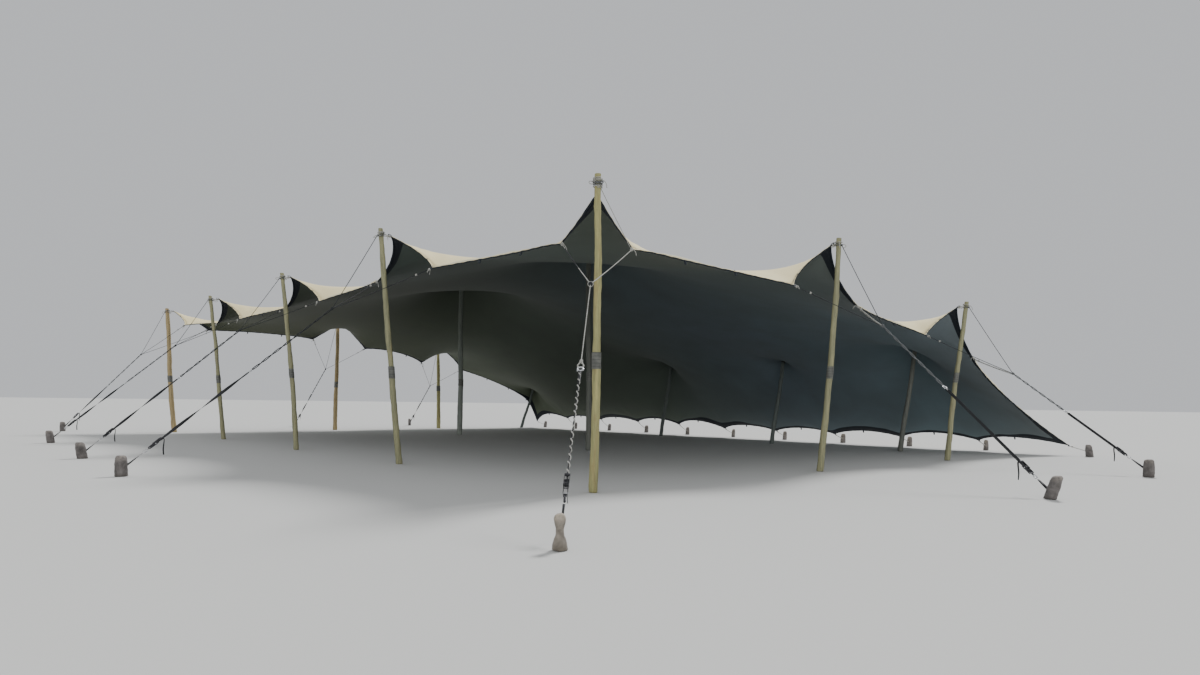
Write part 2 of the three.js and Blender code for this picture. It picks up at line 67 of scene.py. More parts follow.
# Each guyed pole: its foot and head, the loop tied to it, the two loops that its bridle holds down, the
# junction of the ropes, the stake, how far the pole strays from a straight line towards the right of the
# front view, and how far its stake's cover leans. Where it differs: how much stouter the pole is, how hard
# the webbing pulls at its tip, and how far its ratchet sits from the stake.
GUYED = [
    {
        "name": "front_corner",
        "foot": (0.0, 0.0),
        "head": (-0.220, -0.180, 4.000),
        "tip": ((0, 0), (-0.050, -0.050, 3.780)),
        "bridle": [((1, 0), (1.007, 0.237, 3.350)), ((0, 1), (0.300, 0.944, 3.270))],
        "join": (-0.800, -0.780, 2.470),
        "stake": (-2.730, -2.725),
        "strays": [(0.12, 0.013), (0.28, 0.021), (0.44, 0.022), (0.54, 0.012), (0.68, 0.024), (0.85, 0.006)],
        "lean": 0.05,
        "tip_pull": 6.0,
    },
    {
        "name": "long_1",
        "foot": (5.300, 0.100),
        "head": (5.160, -0.480, 4.110),
        "tip": ((5, 0), (5.180, -0.250, 3.990)),
        "bridle": [((4, 0), (4.160, 0.010, 3.350)), ((6, 0), (6.240, 0.030, 3.350))],
        "join": (5.300, -1.230, 2.640),
        "stake": (5.380, -4.150),
        "strays": [(0.2, -0.012), (0.42, -0.010), (0.6, -0.016), (0.8, -0.008)],
        "lean": 0.02,
    },
    {
        "name": "long_2",
        "foot": (9.980, 0.050),
        "head": (10.370, -0.300, 3.940),
        "tip": ((10, 0), (10.380, -0.090, 3.870)),
        "bridle": [((9, 0), (9.360, 0.190, 3.260)), ((11, 0), (11.400, 0.190, 3.260))],
        "join": (10.000, -1.250, 2.560),
        "stake": (9.380, -4.020),
        "strays": [(0.3, 0.030), (0.46, 0.036), (0.64, 0.024), (0.84, 0.014)],
        "lean": 0.07,
    },
    {
        "name": "long_3",
        "foot": (15.350, 0.100),
        "head": (15.570, -0.370, 3.900),
        "tip": ((15, 0), (15.580, -0.130, 3.830)),
        "bridle": [((14, 0), (14.560, 0.130, 3.230)), ((16, 0), (16.600, 0.130, 3.230))],
        "join": (15.400, -1.200, 2.480),
        "stake": (15.240, -3.790),
        "strays": [(0.28, 0.0), (0.42, 0.014), (0.63, 0.030), (0.82, 0.004)],
        "lean": 0.06,
    },
    {
        "name": "far_corner",
        "stout": 1.40,
        "foot": (20.550, 0.120),
        "head": (20.790, -0.240, 3.990),
        "tip": ((20, 0), (20.700, -0.050, 3.900)),
        "bridle": [((19, 0), (19.760, 0.060, 3.400)), ((20, 1), (20.560, 0.980, 3.350))],
        "join": (21.330, -0.800, 2.480),
        "stake": (22.600, -2.600),
        "strays": [(0.26, -0.032), (0.52, -0.034), (0.76, 0.0)],
        "lean": 0.03,
    },
    {
        "name": "right_1",
        "foot": (0.130, 5.270),
        "head": (-0.330, 5.210, 3.970),
        "tip": ((0, 5), (-0.170, 5.200, 3.850)),
        "bridle": [((0, 4), (-0.120, 4.160, 3.070)), ((0, 6), (-0.050, 6.240, 2.920))],
        "join": (-1.210, 5.010, 2.390),
        "stake": (-3.830, 4.200),
        "ratchet_at": 0.290,
        "strays": [(0.16, 0.011), (0.3, 0.026), (0.43, 0.036), (0.56, 0.034), (0.78, 0.028)],
        "lean": 0.12,
    },
    {
        "name": "right_2",
        "foot": (0.100, 10.000),
        "head": (-0.260, 10.310, 3.370),
        "tip": ((0, 10), (-0.060, 10.260, 3.240)),
        "bridle": [((0, 9), (0.160, 9.260, 2.610)), ((0, 11), (0.060, 11.300, 2.210))],
        "join": (-1.300, 9.900, 1.800),
        "stake": (-3.700, 9.060),
        "strays": [(0.2, -0.014), (0.37, -0.029), (0.56, -0.027), (0.79, -0.006)],
        "lean": 0.03,
    },
    {
        "name": "left_1",
        "stout": 1.40,
        "foot": (20.450, 5.400),
        "head": (20.750, 5.467, 4.050),
        "tip": ((20, 5), (20.350, 5.450, 3.950)),
        "bridle": [((20, 4), (20.400, 4.430, 3.260)), ((20, 6), (20.580, 6.500, 3.030))],
        "join": (21.700, 5.470, 2.250),
        "stake": (24.600, 5.500),
        "strays": [(0.25, -0.012), (0.5, 0.010), (0.75, 0.012)],
        "lean": 0.05,
    },
    {
        "name": "left_2",
        "stout": 1.40,
        "foot": (20.580, 9.750),
        "head": (20.934, 9.819, 3.350),
        "tip": ((20, 10), (20.640, 9.800, 3.230)),
        "bridle": [((20, 9), (20.420, 8.800, 2.600)), ((20, 11), (20.700, 10.780, 2.400))],
        "join": (21.750, 9.970, 1.720),
        "stake": (24.200, 10.400),
        "strays": [(0.3, 0.008), (0.6, 0.010)],
        "lean": 0.04,
    },
]

# Poles that stand under the cloth: the loop position that each one lifts, its foot and peak, its radii at
# the foot and the head, and its wood, whose darker and cooler tints are painted shade.
INNER = [
    {
        "name": "king_pole_1",
        "knot": (6.5, 5.5),
        "foot": (6.620, 5.650),
        "peak": (6.776, 5.706, 5.250),
        "radii": (0.070, 0.058),
        "wood": "wood_dim",
    },
    {
        "name": "king_pole_2",
        "knot": (14.5, 7.5),
        "foot": (15.140, 7.380),
        "peak": (15.330, 7.404, 6.000),
        "radii": (0.092, 0.070),
        "wood": "wood_silver",
    },
    {
        "name": "prop_pole_1",
        "knot": (2.5, 12.5),
        "foot": (2.310, 12.250),
        "peak": (2.080, 12.750, 2.820),
        "radii": (0.064, 0.054),
        "wood": "wood_dim",
    },
    {
        "name": "prop_pole_2",
        "knot": (6.5, 12.5),
        "foot": (6.290, 12.370),
        "peak": (6.120, 12.750, 2.460),
        "radii": (0.064, 0.054),
        "wood": "wood_shaded",
    },
    {
        "name": "prop_pole_3",
        "knot": (11.5, 13.0),
        "foot": (11.390, 13.070),
        "peak": (11.200, 13.400, 2.600),
        "radii": (0.064, 0.054),
        "wood": "wood_shaded",
    },
    {
        "name": "prop_pole_4",
        "knot": (19.5, 14.0),
        "foot": (20.170, 13.560),
        "peak": (19.800, 13.900, 1.760),
        "radii": (0.064, 0.054),
        "wood": "wood_shaded",
    },
]

# The wood of the guyed poles that aren't grey, the foot of the tape on each guyed pole, and its height there
# and on the king poles.
GUYED_WOODS = {"front_corner": "wood", "far_corner": "wood_orange", "left_1": "wood_orange", "left_2": "wood"}
TAPE_HEIGHTS = [1.545, 1.50, 1.58, 1.52, 1.60, 1.58, 1.64, 1.55, 1.50]
TAPE_TALL = 0.21
KING_TAPE = (1.62, 1.84)

# The low edge: where its tied loops lie, how high each is, and its stakes with their covers.
HEM_LINE = 14.400
HEM_START = -0.810
HEM_PITCH = 2.098
HEM_HEIGHTS = [0.25, 0.28, 0.28, 0.28, 0.30, 0.31, 0.38, 0.42, 0.45, 0.45, 0.27]
HEM_STAKE_OUT = 0.450
CORNER_STAKE = (-1.280, 14.330)
HEM_COVER_TALL = 0.270

# Guy lines: where each thing sits between the junction and the stake, and how finely the ropes are drawn.
COVER_GRIP = 0.105
HOOK_AT = 0.42
RATCHET_FROM_STAKE = 0.420
RATCHET_LENGTH = 0.230
STRAP_TAIL = 0.240
WOUND_PITCH = 0.100
FINE_STEP = 0.012
LOOSE_STEP = 0.014

# The front view: where the camera stands, the level direction that it faces, and its lens.
VIEW_FROM = (-11.9255, -17.8784, 1.1322)
VIEW_TOWARDS = (0.664549, 0.747245)
VIEW_PITCH = 0.08211
VIEW_ROLL = 0.012582
VIEW_LENS = 23.567
VIEW_RIGHT = np.array([VIEW_TOWARDS[1], -VIEW_TOWARDS[0], 0.0])

# Cloth pull, as the tent is rigged: the stiffness of the threads along, across and on the two diagonals, the
# least pull of each, the webbing round the rim at the high edge, the tips, the low edge and the sides' low
# part, and the straps that run inwards from the tips.
UNSTRETCHED_LOOP = 0.92
STIFFNESS = (10.0, 10.0, 5.0, 5.0)
LEAST_PULL = (0.03, 0.03, 0.009, 0.009)
RIM_PULL = 4.0
TIP_PULL = 1.0
HEM_PULL = 3.4
SIDE_PULL = 4.5
LOW_SIDE_FROM = 11
TIP_STRAP = 1.2
CORNER_STRAP_PULL = 1.4

# The net: how far each peak is rounded, in loops, the length, height and fall of its first shape, its first
# meshes to a loop, and how fast its pulls follow. Then the depth of the pleats, and the step of the trim.
PEAK_REACH = 0.14
FIRST_LENGTH = 20.6
FIRST_HEIGHT = 3.5
FIRST_FALL = 3.0
COARSE_NET = 4
FOLLOWING = 0.35
PLEAT_DEPTH = 0.006
RIM_STEP = 0.036


def size_property(name, description, default):
    return FloatProperty(name=name, description=description, default=default, unit="LENGTH")


def colour_property(name, description, default):
    return FloatVectorProperty(name=name, description=description, default=default, subtype="COLOR")


class TentSizes(bpy.types.PropertyGroup):
    """Sizes of the tent's finished pieces."""

    cloth_thickness: size_property("Cloth thickness", "Thickness of the canopy cloth", 0.004)
    border_width: size_property("Border width", "Width of the dark tape under the rim", 0.095)
    binding_width: size_property("Binding width", "Width of the rolled binding on the rim", 0.034)
    rope_radius: size_property("Rope radius", "Radius of the laid guy rope", 0.009)
    strap_width: size_property("Strap width", "Width of the ratchet strap", 0.045)
    pole_foot: size_property("Pole foot radius", "Radius of a guyed pole at the ground", 0.058)
    pole_head: size_property("Pole head radius", "Radius of a guyed pole at its head", 0.043)
    cover_height: size_property("Cover height", "Height of a guy stake's cover", 0.300)


class TentColours(bpy.types.PropertyGroup):
    """Colours of the tent's finishes."""

    cloth_top: colour_property("Cloth top", "Cream upper face", (0.90, 0.79, 0.47))
    # The underside's colour is the coated cloth's own dark tone, darkened further with painted shade.
    cloth_under: colour_property("Cloth underside", "Dark coated underside", (0.078, 0.086, 0.073))
    binding: colour_property("Binding", "Tape and binding round the rim", (0.010, 0.014, 0.020))
    wood: colour_property("Wood", "Debarked pole wood", (0.37, 0.35, 0.19))
    rope: colour_property("Rope", "Laid guy rope", (0.50, 0.50, 0.46))
    strap: colour_property("Strap", "Black ratchet webbing", (0.012, 0.013, 0.015))
    cover: colour_property("Stake cover", "Weathered stake covers", (0.140, 0.128, 0.122))


def sizes():
    return bpy.context.scene.tent_sizes


def chosen(name):
    """A colour of the finishes as plain numbers."""
    return tuple(getattr(bpy.context.scene.tent_colours, name))


def at(point):
    """A point of the tables in the shared frame."""
    along, across = point[:2]
    up = point[2] if len(point) > 2 else 0.0
    return CORNER_FOOT + np.array([across, along, up])


def unit(vector):
    vector = np.asarray(vector, float)
    return vector / max(np.linalg.norm(vector), 1e-12)


# Materials

PLAIN = (1, 1, 1)


def shade(tone, times):
    return tuple(min(1.0, c * times) for c in tone)


def tinted(tone, tint):
    return tuple(min(1.0, c * t) for c, t in zip(tone, tint))


class Shading:
    """A material under construction: each method adds one step of its look."""

    def __init__(self, name, roughness, specular=0.35, metallic=0.0, sheen=0.0):
        self.material = bpy.data.materials.new(name)
        self.material.use_nodes = True
        self.tree = self.material.node_tree
        self.shader = self.tree.nodes["Principled BSDF"]
        self.put(roughness, self.shader.inputs["Roughness"])
        self.put(specular, self.shader.inputs["Specular IOR Level"])
        self.put(metallic, self.shader.inputs["Metallic"])
        self.put(sheen, self.shader.inputs["Sheen Weight"])

    def put(self, value, socket):
        if isinstance(value, bpy.types.NodeSocket):
            self.tree.links.new(value, socket)
        elif socket.type == "RGBA":
            socket.default_value = (*value, 1.0)
        else:
            socket.default_value = value

    def node(self, kind, settings=None, **inputs):
        made = self.tree.nodes.new(kind)
        for key, value in (settings or {}).items():
            setattr(made, key, value)
        for key, value in inputs.items():
            self.put(value, made.inputs[int(key[1:]) if key[0] == "i" else key])
        return made

    def body(self, scale=(1, 1, 1)):
        """Places in the object's own space."""
        place = self.node("ShaderNodeTexCoord").outputs["Object"]
        return self.node("ShaderNodeMapping", Vector=place, Scale=scale).outputs[0]

    def laid(self, scale=(1, 1, 1), name="laid"):
        """Places along and round the piece, as they were laid down with its points."""
        place = self.node("ShaderNodeAttribute", {"attribute_name": name}).outputs["Vector"]
        return self.node("ShaderNodeMapping", Vector=place, Scale=scale).outputs[0]

    def parts(self, place):
        return self.node("ShaderNodeSeparateXYZ", Vector=place).outputs

    def grain(self, place, scale, detail=4.0, rough=0.55, distortion=0.0):
        given = {"Scale": scale, "Detail": detail, "Roughness": rough, "Distortion": distortion}
        return self.node("ShaderNodeTexNoise", Vector=place, **given).outputs["Fac"]

    def bands(self, place, direction, scale, distortion=0.0, detail=2.0, profile="SIN"):
        kind = {"wave_type": "BANDS", "bands_direction": direction, "wave_profile": profile}
        given = {"Scale": scale, "Distortion": distortion, "Detail": detail}
        return self.node("ShaderNodeTexWave", kind, Vector=place, **given).outputs["Fac"]

    def steps(self, factor, *stops):
        """A ramp of colours or of plain levels, each as (position, colour or level)."""
        made = self.node("ShaderNodeValToRGB", i0=factor)
        while len(made.color_ramp.elements) < len(stops):
            made.color_ramp.elements.new(0.5)
        for element, (position, tone) in zip(made.color_ramp.elements, stops):
            element.position = position
            element.color = (*tone, 1.0) if hasattr(tone, "__len__") else (tone, tone, tone, 1.0)
        return made.outputs["Color"]

    def share(self, value, low, high, low_out=0.0, high_out=1.0, how="LINEAR"):
        """Maps low to low_out and high to high_out."""
        given = {"i0": value, "i1": low, "i2": high, "i3": low_out, "i4": high_out}
        return self.node("ShaderNodeMapRange", {"interpolation_type": how}, **given).outputs[0]

    def blended(self, factor, first, second, how="MIX"):
        kind = {"data_type": "RGBA", "blend_type": how}
        return self.node("ShaderNodeMix", kind, i0=factor, i6=first, i7=second).outputs[2]

    def sum_of(self, how, first, second):
        return self.node("ShaderNodeMath", {"operation": how}, i0=first, i1=second).outputs[0]

    def raised(self, height, strength, distance, under=None):
        """Bump from a height, over what another bump gave."""
        made = self.node("ShaderNodeBump", Strength=strength, Distance=distance, Height=height)
        if under is not None:
            self.put(under, made.inputs["Normal"])
        self.put(made.outputs[0], self.shader.inputs["Normal"])
        return made.outputs[0]

    def coloured(self, tone):
        self.put(tone, self.shader.inputs["Base Color"])
        return self.material


def cloth_edge_distance(make, along, across):
    """How far, in metres of flat cloth, a point lies in from the nearest edge."""
    from_ends = make.sum_of("MINIMUM", along, make.sum_of("SUBTRACT", float(LOOPS_LONG), along))
    from_sides = make.sum_of("MINIMUM", across, make.sum_of("SUBTRACT", float(LOOPS_SHORT), across))
    return make.sum_of("MINIMUM", from_ends, from_sides)


def border_edge(make, along, across, narrow, wide):
    """1 on the border tape under the rim, 0 inside it: the tape widens beside the tips, every fifth loop."""
    half_bay, wide_until, narrow_from, low_from = 2.5, 0.55, 1.35, 13.5
    beside = make.sum_of("MAXIMUM", *(make.sum_of("PINGPONG", part, half_bay) for part in (along, across)))
    spread = make.share(beside, narrow_from, wide_until, narrow, wide, "SMOOTHSTEP")
    low = make.sum_of("MULTIPLY", make.sum_of("GREATER_THAN", across, low_from), narrow * 0.25)
    width = make.sum_of("ADD", make.sum_of("MINIMUM", spread, wide), low)
    inside = make.sum_of("SUBTRACT", cloth_edge_distance(make, along, across), width)
    return make.steps(make.sum_of("ADD", inside, 0.5), (0.4985, 1.0), (0.5015, 0.0))


def knit(make, place, strength):
    """Soft creases with fine slanting threads over them."""
    threads = make.bands(place, "DIAGONAL", 90.0, 1.5, 1.0)
    soft = make.raised(make.grain(place, 1.6, 3.0, 0.5, 0.6), strength, 0.02)
    make.raised(threads, strength * 0.35, 0.0006, soft)


def cloth_top_finish():
    cream = chosen("cloth_top")
    make = Shading("canopy_cream", 0.82, 0.25, sheen=0.04)
    place = make.laid(name="flat_cloth")
    along, across, _ = make.parts(place)
    weather = make.grain(place, 0.7, 5.0, 0.6, 0.4)
    stops = [(0.3, shade(cream, 0.86)), (0.55, cream), (0.8, tinted(cream, (1.06, 1.05, 1.02)))]
    tone = make.steps(weather, *stops)
    specks = make.steps(make.grain(place, 38.0, 2.0), (0.35, 0.0), (0.75, 0.14))
    tone = make.blended(specks, tone, shade(cream, 0.7))
    edge = make.steps(cloth_edge_distance(make, along, across), (0.0, 0.35), (0.045, 0.0))
    knit(make, place, 0.25)
    return make.coloured(make.blended(edge, tone, shade(cream, 0.55)))


# The underside's tints from the front corner along the cloth, and from the high edge across it: painted
# light, bounce light from the ground painted into the colour.
PAINTED_LIGHT_ALONG = [
    (0.0, (1.35, 1.35, 1.45)),
    (0.12, (1.10, 1.28, 1.45)),
    (0.35, (1.10, 1.20, 1.40)),
    (0.6, (0.82, 0.86, 0.72)),
    (1.0, (0.84, 0.84, 0.56)),
]
PAINTED_LIGHT_ACROSS = [
    (0.0, (0.86, 0.90, 0.80)),
    (0.22, (0.84, 0.87, 0.74)),
    (0.45, (1.15, 1.22, 1.35)),
    (0.68, (1.50, 1.62, 1.95)),
    (1.0, (1.30, 1.40, 1.60)),
]


def cloth_under_finish():
    # This dark colour holds painted shade as well as the coated cloth's own tone.
    dark = chosen("cloth_under")
    make = Shading("canopy_underside", 0.78, 0.22, sheen=0.05)
    place = make.laid(name="flat_cloth")
    along, across, _ = make.parts(place)
    # Painted light: the underside is made brighter and bluer towards the front corner and the low edge, and
    # darker near the high edge.
    stops = [(position, tinted(dark, tint)) for position, tint in PAINTED_LIGHT_ALONG]
    tone = make.steps(make.share(along, 0.0, float(LOOPS_LONG)), *stops)
    lift = make.steps(make.share(across, 0.0, float(LOOPS_SHORT)), *PAINTED_LIGHT_ACROSS)
    tone = make.blended(1.0, tone, lift, "MULTIPLY")
    weather = make.steps(make.grain(place, 0.9, 4.0, 0.55, 0.3), (0.3, 0.0), (0.8, 0.35))
    tone = make.blended(weather, tone, shade(dark, 0.75))
    border = sizes().border_width
    edge = border_edge(make, along, across, border * 0.50, border * 1.55)
    knit(make, place, 0.22)
    return make.coloured(make.blended(edge, tone, shade(chosen("binding"), 0.8)))


def binding_finish():
    tape = chosen("binding")
    make = Shading("rim_binding_tape", 0.7, 0.3)
    place = make.body()
    lit = make.steps(make.parts(make.laid())[1], (0.30, 0.0), (0.42, 1.0))
    puckers = make.steps(make.grain(place, 7.0, 3.0, 0.6), (0.40, 0.25), (0.50, 1.0))
    tone = make.steps(make.grain(place, 60.0, 2.0), (0.3, shade(tape, 0.7)), (0.7, shade(tape, 1.8)))
    make.raised(make.grain(place, 160.0, 2.0), 0.4, 0.001)
    showing = make.sum_of("MULTIPLY", lit, puckers)
    return make.coloured(make.blended(showing, tone, shade(chosen("cloth_top"), 0.85)))


def hem_finish():
    cream = chosen("cloth_top")
    make = Shading("hem_cream", 0.75, 0.3)
    place = make.laid()
    stops = [(0.30, shade(cream, 0.35)), (0.45, tinted(cream, (0.95, 1.0, 1.2)))]
    stops.append((0.7, tinted(cream, (1.04, 1.13, 1.5))))
    make.raised(make.grain(place, 90.0, 3.0), 0.4, 0.0015)
    return make.coloured(make.steps(make.grain(place, 5.0, 5.0, 0.6), *stops))


def wood_finish(name, tint, red):
    """Debarked wood: long streaks, patches of reddish bark and fine dark grain."""
    pale = tinted(chosen("wood"), tint)
    make = Shading(name, 0.68, 0.3)
    streaks = make.grain(make.body((34, 34, 1.3)), 1.0, 6.0, 0.62, 0.5)
    fine = make.grain(make.body((150, 150, 3.0)), 1.0, 4.0, 0.6)
    bark = make.grain(make.body((9, 9, 1.6)), 1.0, 4.0, 0.65, 0.8)
    tints = [(0.22, (0.38, 0.36, 0.36)), (0.42, (0.78, 0.80, 0.84)), (0.58, PLAIN), (0.8, (1.35, 1.28, 1.2))]
    tone = make.steps(streaks, *((position, tinted(pale, other)) for position, other in tints))
    tone = make.blended(make.steps(bark, (0.55, 0.0), (0.68, red)), tone, tinted(pale, (0.72, 0.45, 0.42)))
    tone = make.blended(make.steps(fine, (0.5, 0.0), (0.72, 0.45)), tone, shade(pale, 0.35))
    make.raised(fine, 0.45, 0.0015, make.raised(streaks, 0.5, 0.006))
    return make.coloured(tone)


def tape_finish():
    make = Shading("wound_tape", 0.55, 0.4)
    place = make.body()
    turns = make.bands(place, "Z", 7.0, 0.6, profile="SAW")
    tone = make.steps(make.grain(place, 14.0, 4.0), (0.3, (0.075, 0.078, 0.070)), (0.7, (0.15, 0.152, 0.135)))
    laps = make.steps(turns, (0.0, 0.8), (0.16, 0.0), (0.9, 0.0), (1.0, 0.6))
    make.raised(turns, 0.6, 0.002)
    return make.coloured(make.blended(laps, tone, (0.020, 0.021, 0.020)))


def rope_finish(name, tint):
    fibre = tinted(chosen("rope"), tint)
    make = Shading(name, 0.85, 0.2, sheen=0.1)
    yarns = make.bands(make.laid((60, 6, 1)), "DIAGONAL", 1.0)
    dirt = make.grain(make.laid(), 6.0, 4.0)
    stops = [(0.3, tinted(fibre, (0.55, 0.53, 0.5))), (0.52, shade(fibre, 0.92))]
    stops.append((0.75, tinted(fibre, (1.4, 1.4, 1.42))))
    make.raised(yarns, 0.5, 0.0012)
    gaps = make.steps(yarns, (0.0, 0.35), (0.4, 0.0))
    return make.coloured(make.blended(gaps, make.steps(dirt, *stops), shade(fibre, 0.4)))


def webbing_finish(name, colour_name, times):
    woven = shade(chosen(colour_name), times)
    make = Shading(name, 0.6, 0.35, sheen=0.05)
    wear = make.grain(make.laid((2, 20, 1)), 4.0, 4.0)
    make.raised(make.bands(make.laid(), "X", 110.0), 0.5, 0.0008)
    stops = [(position, shade(woven, level)) for position, level in ((0.35, 0.8), (0.6, 1.6), (0.8, 5.0))]
    return make.coloured(make.steps(wear, *stops))


def steel_finish(name, worn, clean):
    make = Shading(name, 0.35, 0.5, metallic=0.9)
    wear = make.grain(make.body(), 40.0, 5.0, 0.65)
    make.put(make.steps(wear, (0.3, 0.55), (0.7, 0.28)), make.shader.inputs["Roughness"])
    make.raised(wear, 0.15, 0.0006)
    return make.coloured(make.steps(wear, (0.35, worn), (0.65, clean)))


def cover_finish(name, tint):
    """Stained canvas, with a painted highlight in patches along its top edge, and darker at its foot."""
    canvas = tinted(chosen("cover"), tint)
    make = Shading(name, 0.9, 0.2, sheen=0.15)
    place = make.body()
    stains = make.grain(place, 9.0, 6.0, 0.65, 0.5)
    stops = [(0.28, shade(canvas, 0.45)), (0.5, canvas), (0.75, tinted(canvas, (1.6, 1.62, 1.65)))]
    tone = make.steps(stains, *stops)
    height = make.parts(place)[2]
    # Painted highlight: in patches, the top edge is made much paler where light falls on it.
    top_highlight_patches = make.steps(make.grain(place, 26.0, 4.0), (0.4, 0.2), (0.6, 0.9))
    worn = make.sum_of("MULTIPLY", make.steps(height, (0.21, 0.0), (0.29, 1.0)), top_highlight_patches)
    tone = make.blended(worn, tone, tinted(canvas, (2.3, 2.25, 2.1)))
    darker_foot = make.steps(height, (0.0, 0.55), (0.06, 0.0))
    tone = make.blended(darker_foot, tone, tinted(canvas, (0.45, 0.42, 0.36)))
    make.raised(make.grain(place, 420.0, 1.0), 0.3, 0.0008, make.raised(stains, 0.35, 0.006))
    return make.coloured(tone)


def dome_finish():
    make = Shading("pole_head_dome", 0.6, 0.35)
    wear = make.grain(make.body(), 18.0, 5.0)
    make.raised(wear, 0.3, 0.003)
    return make.coloured(make.steps(wear, (0.3, (0.010, 0.011, 0.010)), (0.7, (0.035, 0.036, 0.032))))


def floor_finish():
    return Shading("studio_floor", 0.9, 0.1).coloured((0.62, 0.62, 0.60))


# Each finish: what makes it, with the material's name and its tint or levels.
MAKERS = {
    "cream": (cloth_top_finish,),
    "underside": (cloth_under_finish,),
    "binding": (binding_finish,),
    "hem": (hem_finish,),
    "wood": (wood_finish, "pole_wood_pale", (0.98, 0.97, 0.80), 0.35),
    "wood_grey": (wood_finish, "pole_wood_grey", (0.78, 0.80, 0.84), 0.15),
    # Painted shade: the next three woods are the pole wood darkened and cooled by their tints, for the poles
    # under the cloth.
    "wood_dim": (wood_finish, "pole_wood_dim", (0.38, 0.42, 0.66), 0.10),
    "wood_shaded": (wood_finish, "pole_wood_dark", (0.30, 0.37, 0.62), 0.06),
    "wood_silver": (wood_finish, "pole_wood_silver", (0.62, 0.72, 1.15), 0.10),
    "wood_orange": (wood_finish, "pole_wood_warm", (1.05, 0.86, 0.80), 0.6),
    "tape": (tape_finish,),
    "rope": (rope_finish, "guy_rope_pale", PLAIN),
    "rope_mid": (rope_finish, "guy_rope_grey", (0.34, 0.36, 0.40)),
    "rope_dark": (rope_finish, "guy_rope_dark", (0.070, 0.078, 0.092)),
    "strap": (webbing_finish, "strap_webbing", "strap", 1.0),
    "loop": (webbing_finish, "loop_webbing", "binding", 1.3),
    "steel": (steel_finish, "bright_steel", (0.42, 0.43, 0.44), (0.72, 0.73, 0.74)),
    "dark_steel": (steel_finish, "dark_steel", (0.030, 0.030, 0.034), (0.085, 0.085, 0.092)),
    "cover": (cover_finish, "stake_cover_canvas", PLAIN),
    "cover_pale": (cover_finish, "stake_cover_canvas_pale", (1.75, 1.7, 1.5)),
    "dome": (dome_finish,),
    "floor": (floor_finish,),
}
FINISHES = {}


def finish(name):
    """The tent's materials, each made once when the first piece asks for it."""
    if name not in FINISHES:
        maker, *given = MAKERS[name]
        FINISHES[name] = maker(*given)
    return FINISHES[name]


# Pieces: how each is named, finished and put on the tent, and the edit steps that they share

def own(piece, name):
    """Names a piece and puts it on the tent."""
    piece.name = name
    piece.data.name = name
    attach(piece, "root")
    return piece


def clear_selection():
    if bpy.context.mode != "OBJECT":
        bpy.ops.object.mode_set(mode="OBJECT")
    bpy.ops.object.select_all(action="DESELECT")


def edit_all():
    bpy.ops.object.mode_set(mode="EDIT")
    bpy.ops.mesh.select_all(action="SELECT")


def end_edit(face_out=False):
    if face_out:
        bpy.ops.mesh.select_all(action="SELECT")
        bpy.ops.mesh.normals_make_consistent(inside=False)
    bpy.ops.object.mode_set(mode="OBJECT")


def freeze_place():
    bpy.ops.object.transform_apply(location=True, rotation=True, scale=True)


def modify(piece, kind, **settings):
    """Gives a piece a modifier and applies it."""
    modifier = piece.modifiers.new(kind.lower(), kind)
    for key, value in settings.items():
        setattr(modifier, key, value)
    bpy.ops.object.modifier_apply(modifier=modifier.name)


def roughen(piece, name, noise_scale, space, strength):
    """Uneven lumps all over a piece."""
    lumps = bpy.data.textures.new(name, "CLOUDS")
    lumps.noise_scale = noise_scale
    modify(piece, "DISPLACE", texture=lumps, texture_coords=space, strength=strength, mid_level=0.5)


def mesh_piece(name, points, faces, finishes, laid, attribute="laid", face_finish=None):
    """A smooth piece made point by point, with a place on its cloth, strap or rope for each point."""
    mesh = bpy.data.meshes.new(name)
    mesh.from_pydata([tuple(map(float, p)) for p in points], [], [tuple(map(int, f)) for f in faces])
    for one in finishes:
        mesh.materials.append(finish(one))
    if face_finish is not None:
        mesh.polygons.foreach_set("material_index", np.asarray(face_finish, np.int32))
    places = mesh.attributes.new(attribute, "FLOAT_VECTOR", "POINT").data
    places.foreach_set("vector", np.asarray(laid, np.float32).ravel())
    mesh.polygons.foreach_set("use_smooth", np.full(len(mesh.polygons), True))
    mesh.update()
    piece = bpy.data.objects.new(name, mesh)
    bpy.context.scene.collection.objects.link(piece)
    return own(piece, name)


# Ropes and webbing, swept along their paths

def lengths_along(path):
    return np.concatenate([[0], np.cumsum(np.linalg.norm(np.diff(path, axis=0), axis=1))])


def rounded_path(points, step):
    """Points about a step apart on a smooth curve through the given ones."""
    points = np.asarray(points, float)
    if len(points) == 2:
        count = max(2, int(np.ceil(np.linalg.norm(points[1] - points[0]) / step)) + 1)
        return points[0] + np.linspace(0, 1, count)[:, None] * (points[1] - points[0])
    padded = np.vstack([2 * points[0] - points[1], points, 2 * points[-1] - points[-2]])
    out = [points[0]]
    for k in range(1, len(padded) - 2):
        a, b, c, d = padded[k - 1 : k + 3]
        count = max(1, int(np.ceil(np.linalg.norm(c - b) / step)))
        for i in range(1, count + 1):
            t = i / count
            square, cube = (2 * a - 5 * b + 4 * c - d) * t * t, (3 * b - a - 3 * c + d) * t**3
            out.append(0.5 * (2 * b + (c - a) * t + square + cube))
    return np.array(out)


def turning_frames(path, side=None):
    """Two directions across the path at each point, which turn no more than the path does."""
    along = np.gradient(path, axis=0)
    along /= np.maximum(np.linalg.norm(along, axis=1), 1e-12)[:, None]
    if side is None:
        side = UP if abs(along[0][2]) < 0.9 else np.array([1.0, 0, 0])
    across = np.empty_like(path)
    current = np.asarray(side, float)
    for k in range(len(path)):
        current = unit(current - along[k] * (current @ along[k]))
        across[k] = current
    return across, np.cross(along, across)


